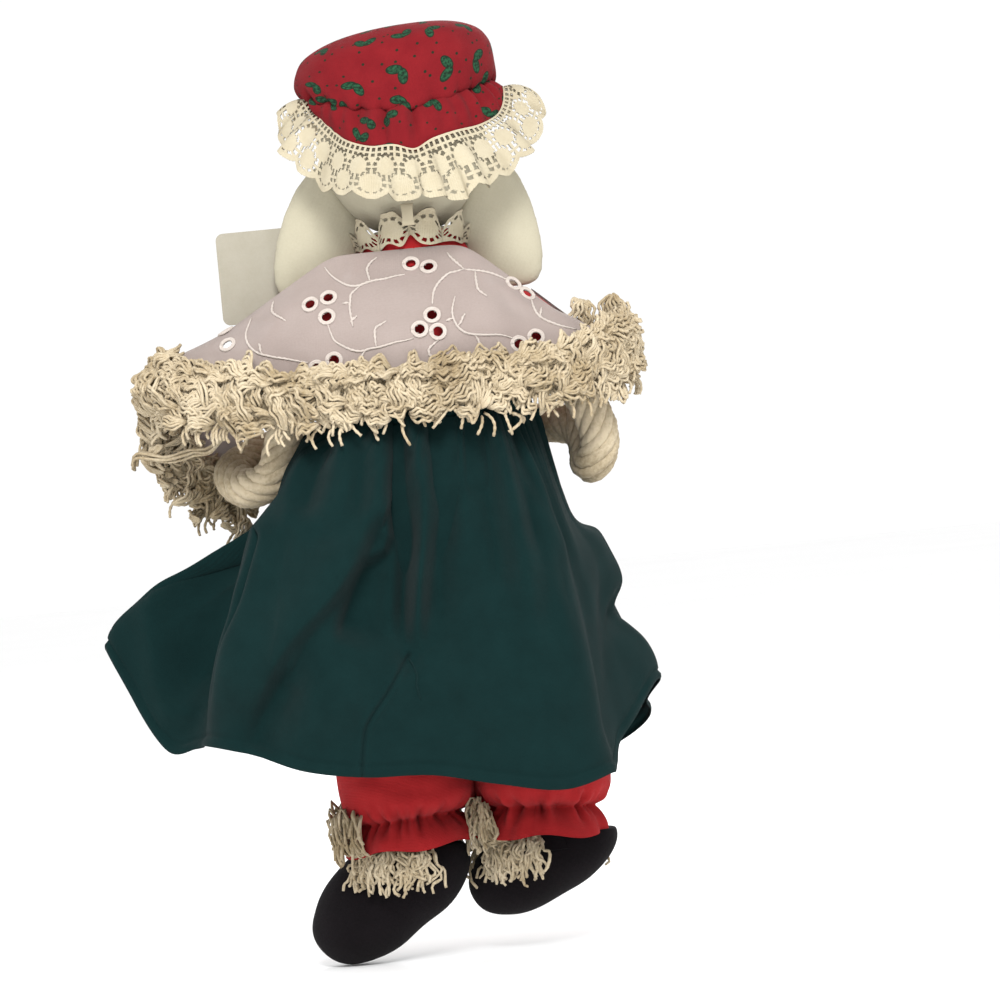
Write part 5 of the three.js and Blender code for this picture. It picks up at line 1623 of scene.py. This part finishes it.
def make_tag_stitches():
    """Crossed thread that sews the tag's inner corner to the ear."""
    low, high = node_box("swing_tag")
    middle = np.array([low[0] + 5.5, low[1] - 0.2, high[2] - 5.5])
    t = np.linspace(-1, 1, 12)
    bow = -0.7 * (1 - t**2)
    cross = [middle + np.stack([3 * t, bow, turn * 3 * t], 1) for turn in (1, -1)]
    piece = tubes("tag_stitches", cross, 0.45, STITCH, *FLOSS_LAY)
    place(piece, "ear_left", "binding_thread")


def make_head():
    head = stuffed("head_stuffed", "head", MUSLIN, voxel=1.5, smoothing=10, lump=0.25, seed=3)
    place(head, "head", "muslin", "head")
    for side, sign in SIDES.items():
        node = f"ear_{side}"
        ear = stuffed(f"{node}_stuffed", node, MUSLIN, voxel=1.0, smoothing=10, lump=0.25, seed=4)
        points = vertex_values(ear, "co") / MM
        axis = sign * (EAR_ROOT[0] + math.tan(EAR_SPREAD[side]) * (EAR_ROOT[2] - points[:, 2]))
        across = points[:, 0] - axis
        inner = 1.3 + 0.5 * smoothstep(150 - points[:, 2], 0, 20)
        points[:, 0] = axis + across * np.where(across * sign < 0, inner, 1.0) - sign * EAR_INSET[side]
        move_vertices(ear, points)
        place(ear, node, "muslin", node)


def make_band(name, node, material, body, slot, ribs):
    """A gathered band round the place of a packed ring."""
    low, high = node_box(node)
    middle, half = (low + high) / 2, (high - low) / 2
    angle, share = ring_grid(max(240, ribs * 6), 9)
    swell = 0.5 * np.sin(math.pi * share) + 0.35 * np.cos(ribs * angle) * np.sin(math.pi * share)
    x = middle[0] + (half[0] - 1.2 + swell) * np.cos(angle)
    y = middle[1] + (half[1] - 1.2 + swell) * np.sin(angle)
    z = middle[2] + half[2] * (1 - 2 * share)
    piece = cloth(name, np.stack([x, y, z], -1), material, 0.9, closed=True)
    place(piece, body, slot, node)


def make_bands():
    make_band("waistband_cloth", "waistband", GREEN_CLOTH, "torso", "green_cloth", 60)
    make_band("cap_elastic_ribbed", "cap_elastic", ELASTIC, "head", "elastic", 70)
    for side in SIDES:
        node = f"bloomer_elastic_{side}"
        make_band(f"{node}_ribbed", node, ELASTIC, f"leg_{side}", "elastic", 40)


def make_pellet_bag():
    bag = stuffed("pellet_bag_filled", "pellet_bag", MUSLIN, voxel=1.5, smoothing=6, lump=0.5, seed=6)
    place(bag, "torso", "muslin", "pellet_bag")


def finish_packed_solids():
    """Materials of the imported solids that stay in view."""
    looks = {
        "seat_card": CARD,
        "swing_tag": CARD,
        "eye_left": BEAD,
        "eye_right": BEAD,
        "nose": FLOSS,
    }
    for node, material in looks.items():
        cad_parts[node].data.materials.clear()
        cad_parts[node].data.materials.append(material)


# Stage


def make_camera():
    data = bpy.data.cameras.new("camera")
    camera = bpy.data.objects.new("camera", data)
    bpy.context.scene.collection.objects.link(camera)
    right = Vector((-math.cos(ROLL), 0, -math.sin(ROLL)))
    up = Vector((-math.sin(ROLL), 0, math.cos(ROLL)))
    turn = Matrix((right, up, Vector((0, 1, 0)))).transposed().to_4x4()
    camera.matrix_world = Matrix.Translation((AIM[0] * MM, CAMERA_DISTANCE, AIM[1] * MM)) @ turn
    data.sensor_fit = "HORIZONTAL"
    data.angle = 2 * math.atan(500 * PIXEL * MM / CAMERA_DISTANCE)
    data.clip_end = 50
    bpy.context.scene.camera = camera


def area_light(name, place, target, size, energy):
    data = bpy.data.lights.new(name, "AREA")
    data.energy = energy
    data.size = size
    lamp = bpy.data.objects.new(name, data)
    lamp.location = place
    lamp.rotation_euler = (Vector(target) - Vector(place)).to_track_quat("-Z", "Y").to_euler()
    bpy.context.scene.collection.objects.link(lamp)


PAPER = 0.955, 0.97  # the floor's darkest and lightest grey
FLOOR_HALF = 9000
SKY = 1.03
LIGHTS = {  # place, target, size and watts
    "key": ((-0.02, 1.3, 0.95), (0, 0, 0.02), 0.55, 28),
    "fill": ((-0.3, -1.35, 0.8), (0, 0, 0.05), 0.6, 11),
}


def make_stage():
    shader = Shader("floor_paper", 0.9)
    tone = shader.noise(shader.coordinates("object"), 3.0)
    dark, light = ((grey, grey, grey, 1) for grey in PAPER)
    shader.colour(shader.ramp(tone, [(0.3, dark), (0.7, light)]))
    low = CAD_BOX[0][2] / MM - 1
    corners = [(x * FLOOR_HALF, y * FLOOR_HALF, low) for x, y in ((-1, -1), (1, -1), (1, 1), (-1, 1))]
    build("floor", corners, [np.array([[0, 1, 2, 3]])], shader.material)
    world = bpy.data.worlds.new("studio")
    world.use_nodes = True
    world.node_tree.nodes["Background"].inputs["Color"].default_value = (1, 1, 1, 1)
    world.node_tree.nodes["Background"].inputs["Strength"].default_value = SKY
    bpy.context.scene.world = world
    bpy.context.scene.view_settings.view_transform = "Standard"
    for name, light in LIGHTS.items():
        area_light(name, *light)


make_camera()
make_stage()
make_body()
make_bodice()
make_seat()
make_head()
make_mouth()
make_tag_stitches()
make_crown()
make_brim()
make_cap_lace()
make_collar()
make_collar_tie()
make_bands()
make_pellet_bag()
make_skirt()
make_stole()
make_fringe()
make_arms()
make_sleeves()
make_legs()
finish_packed_solids()
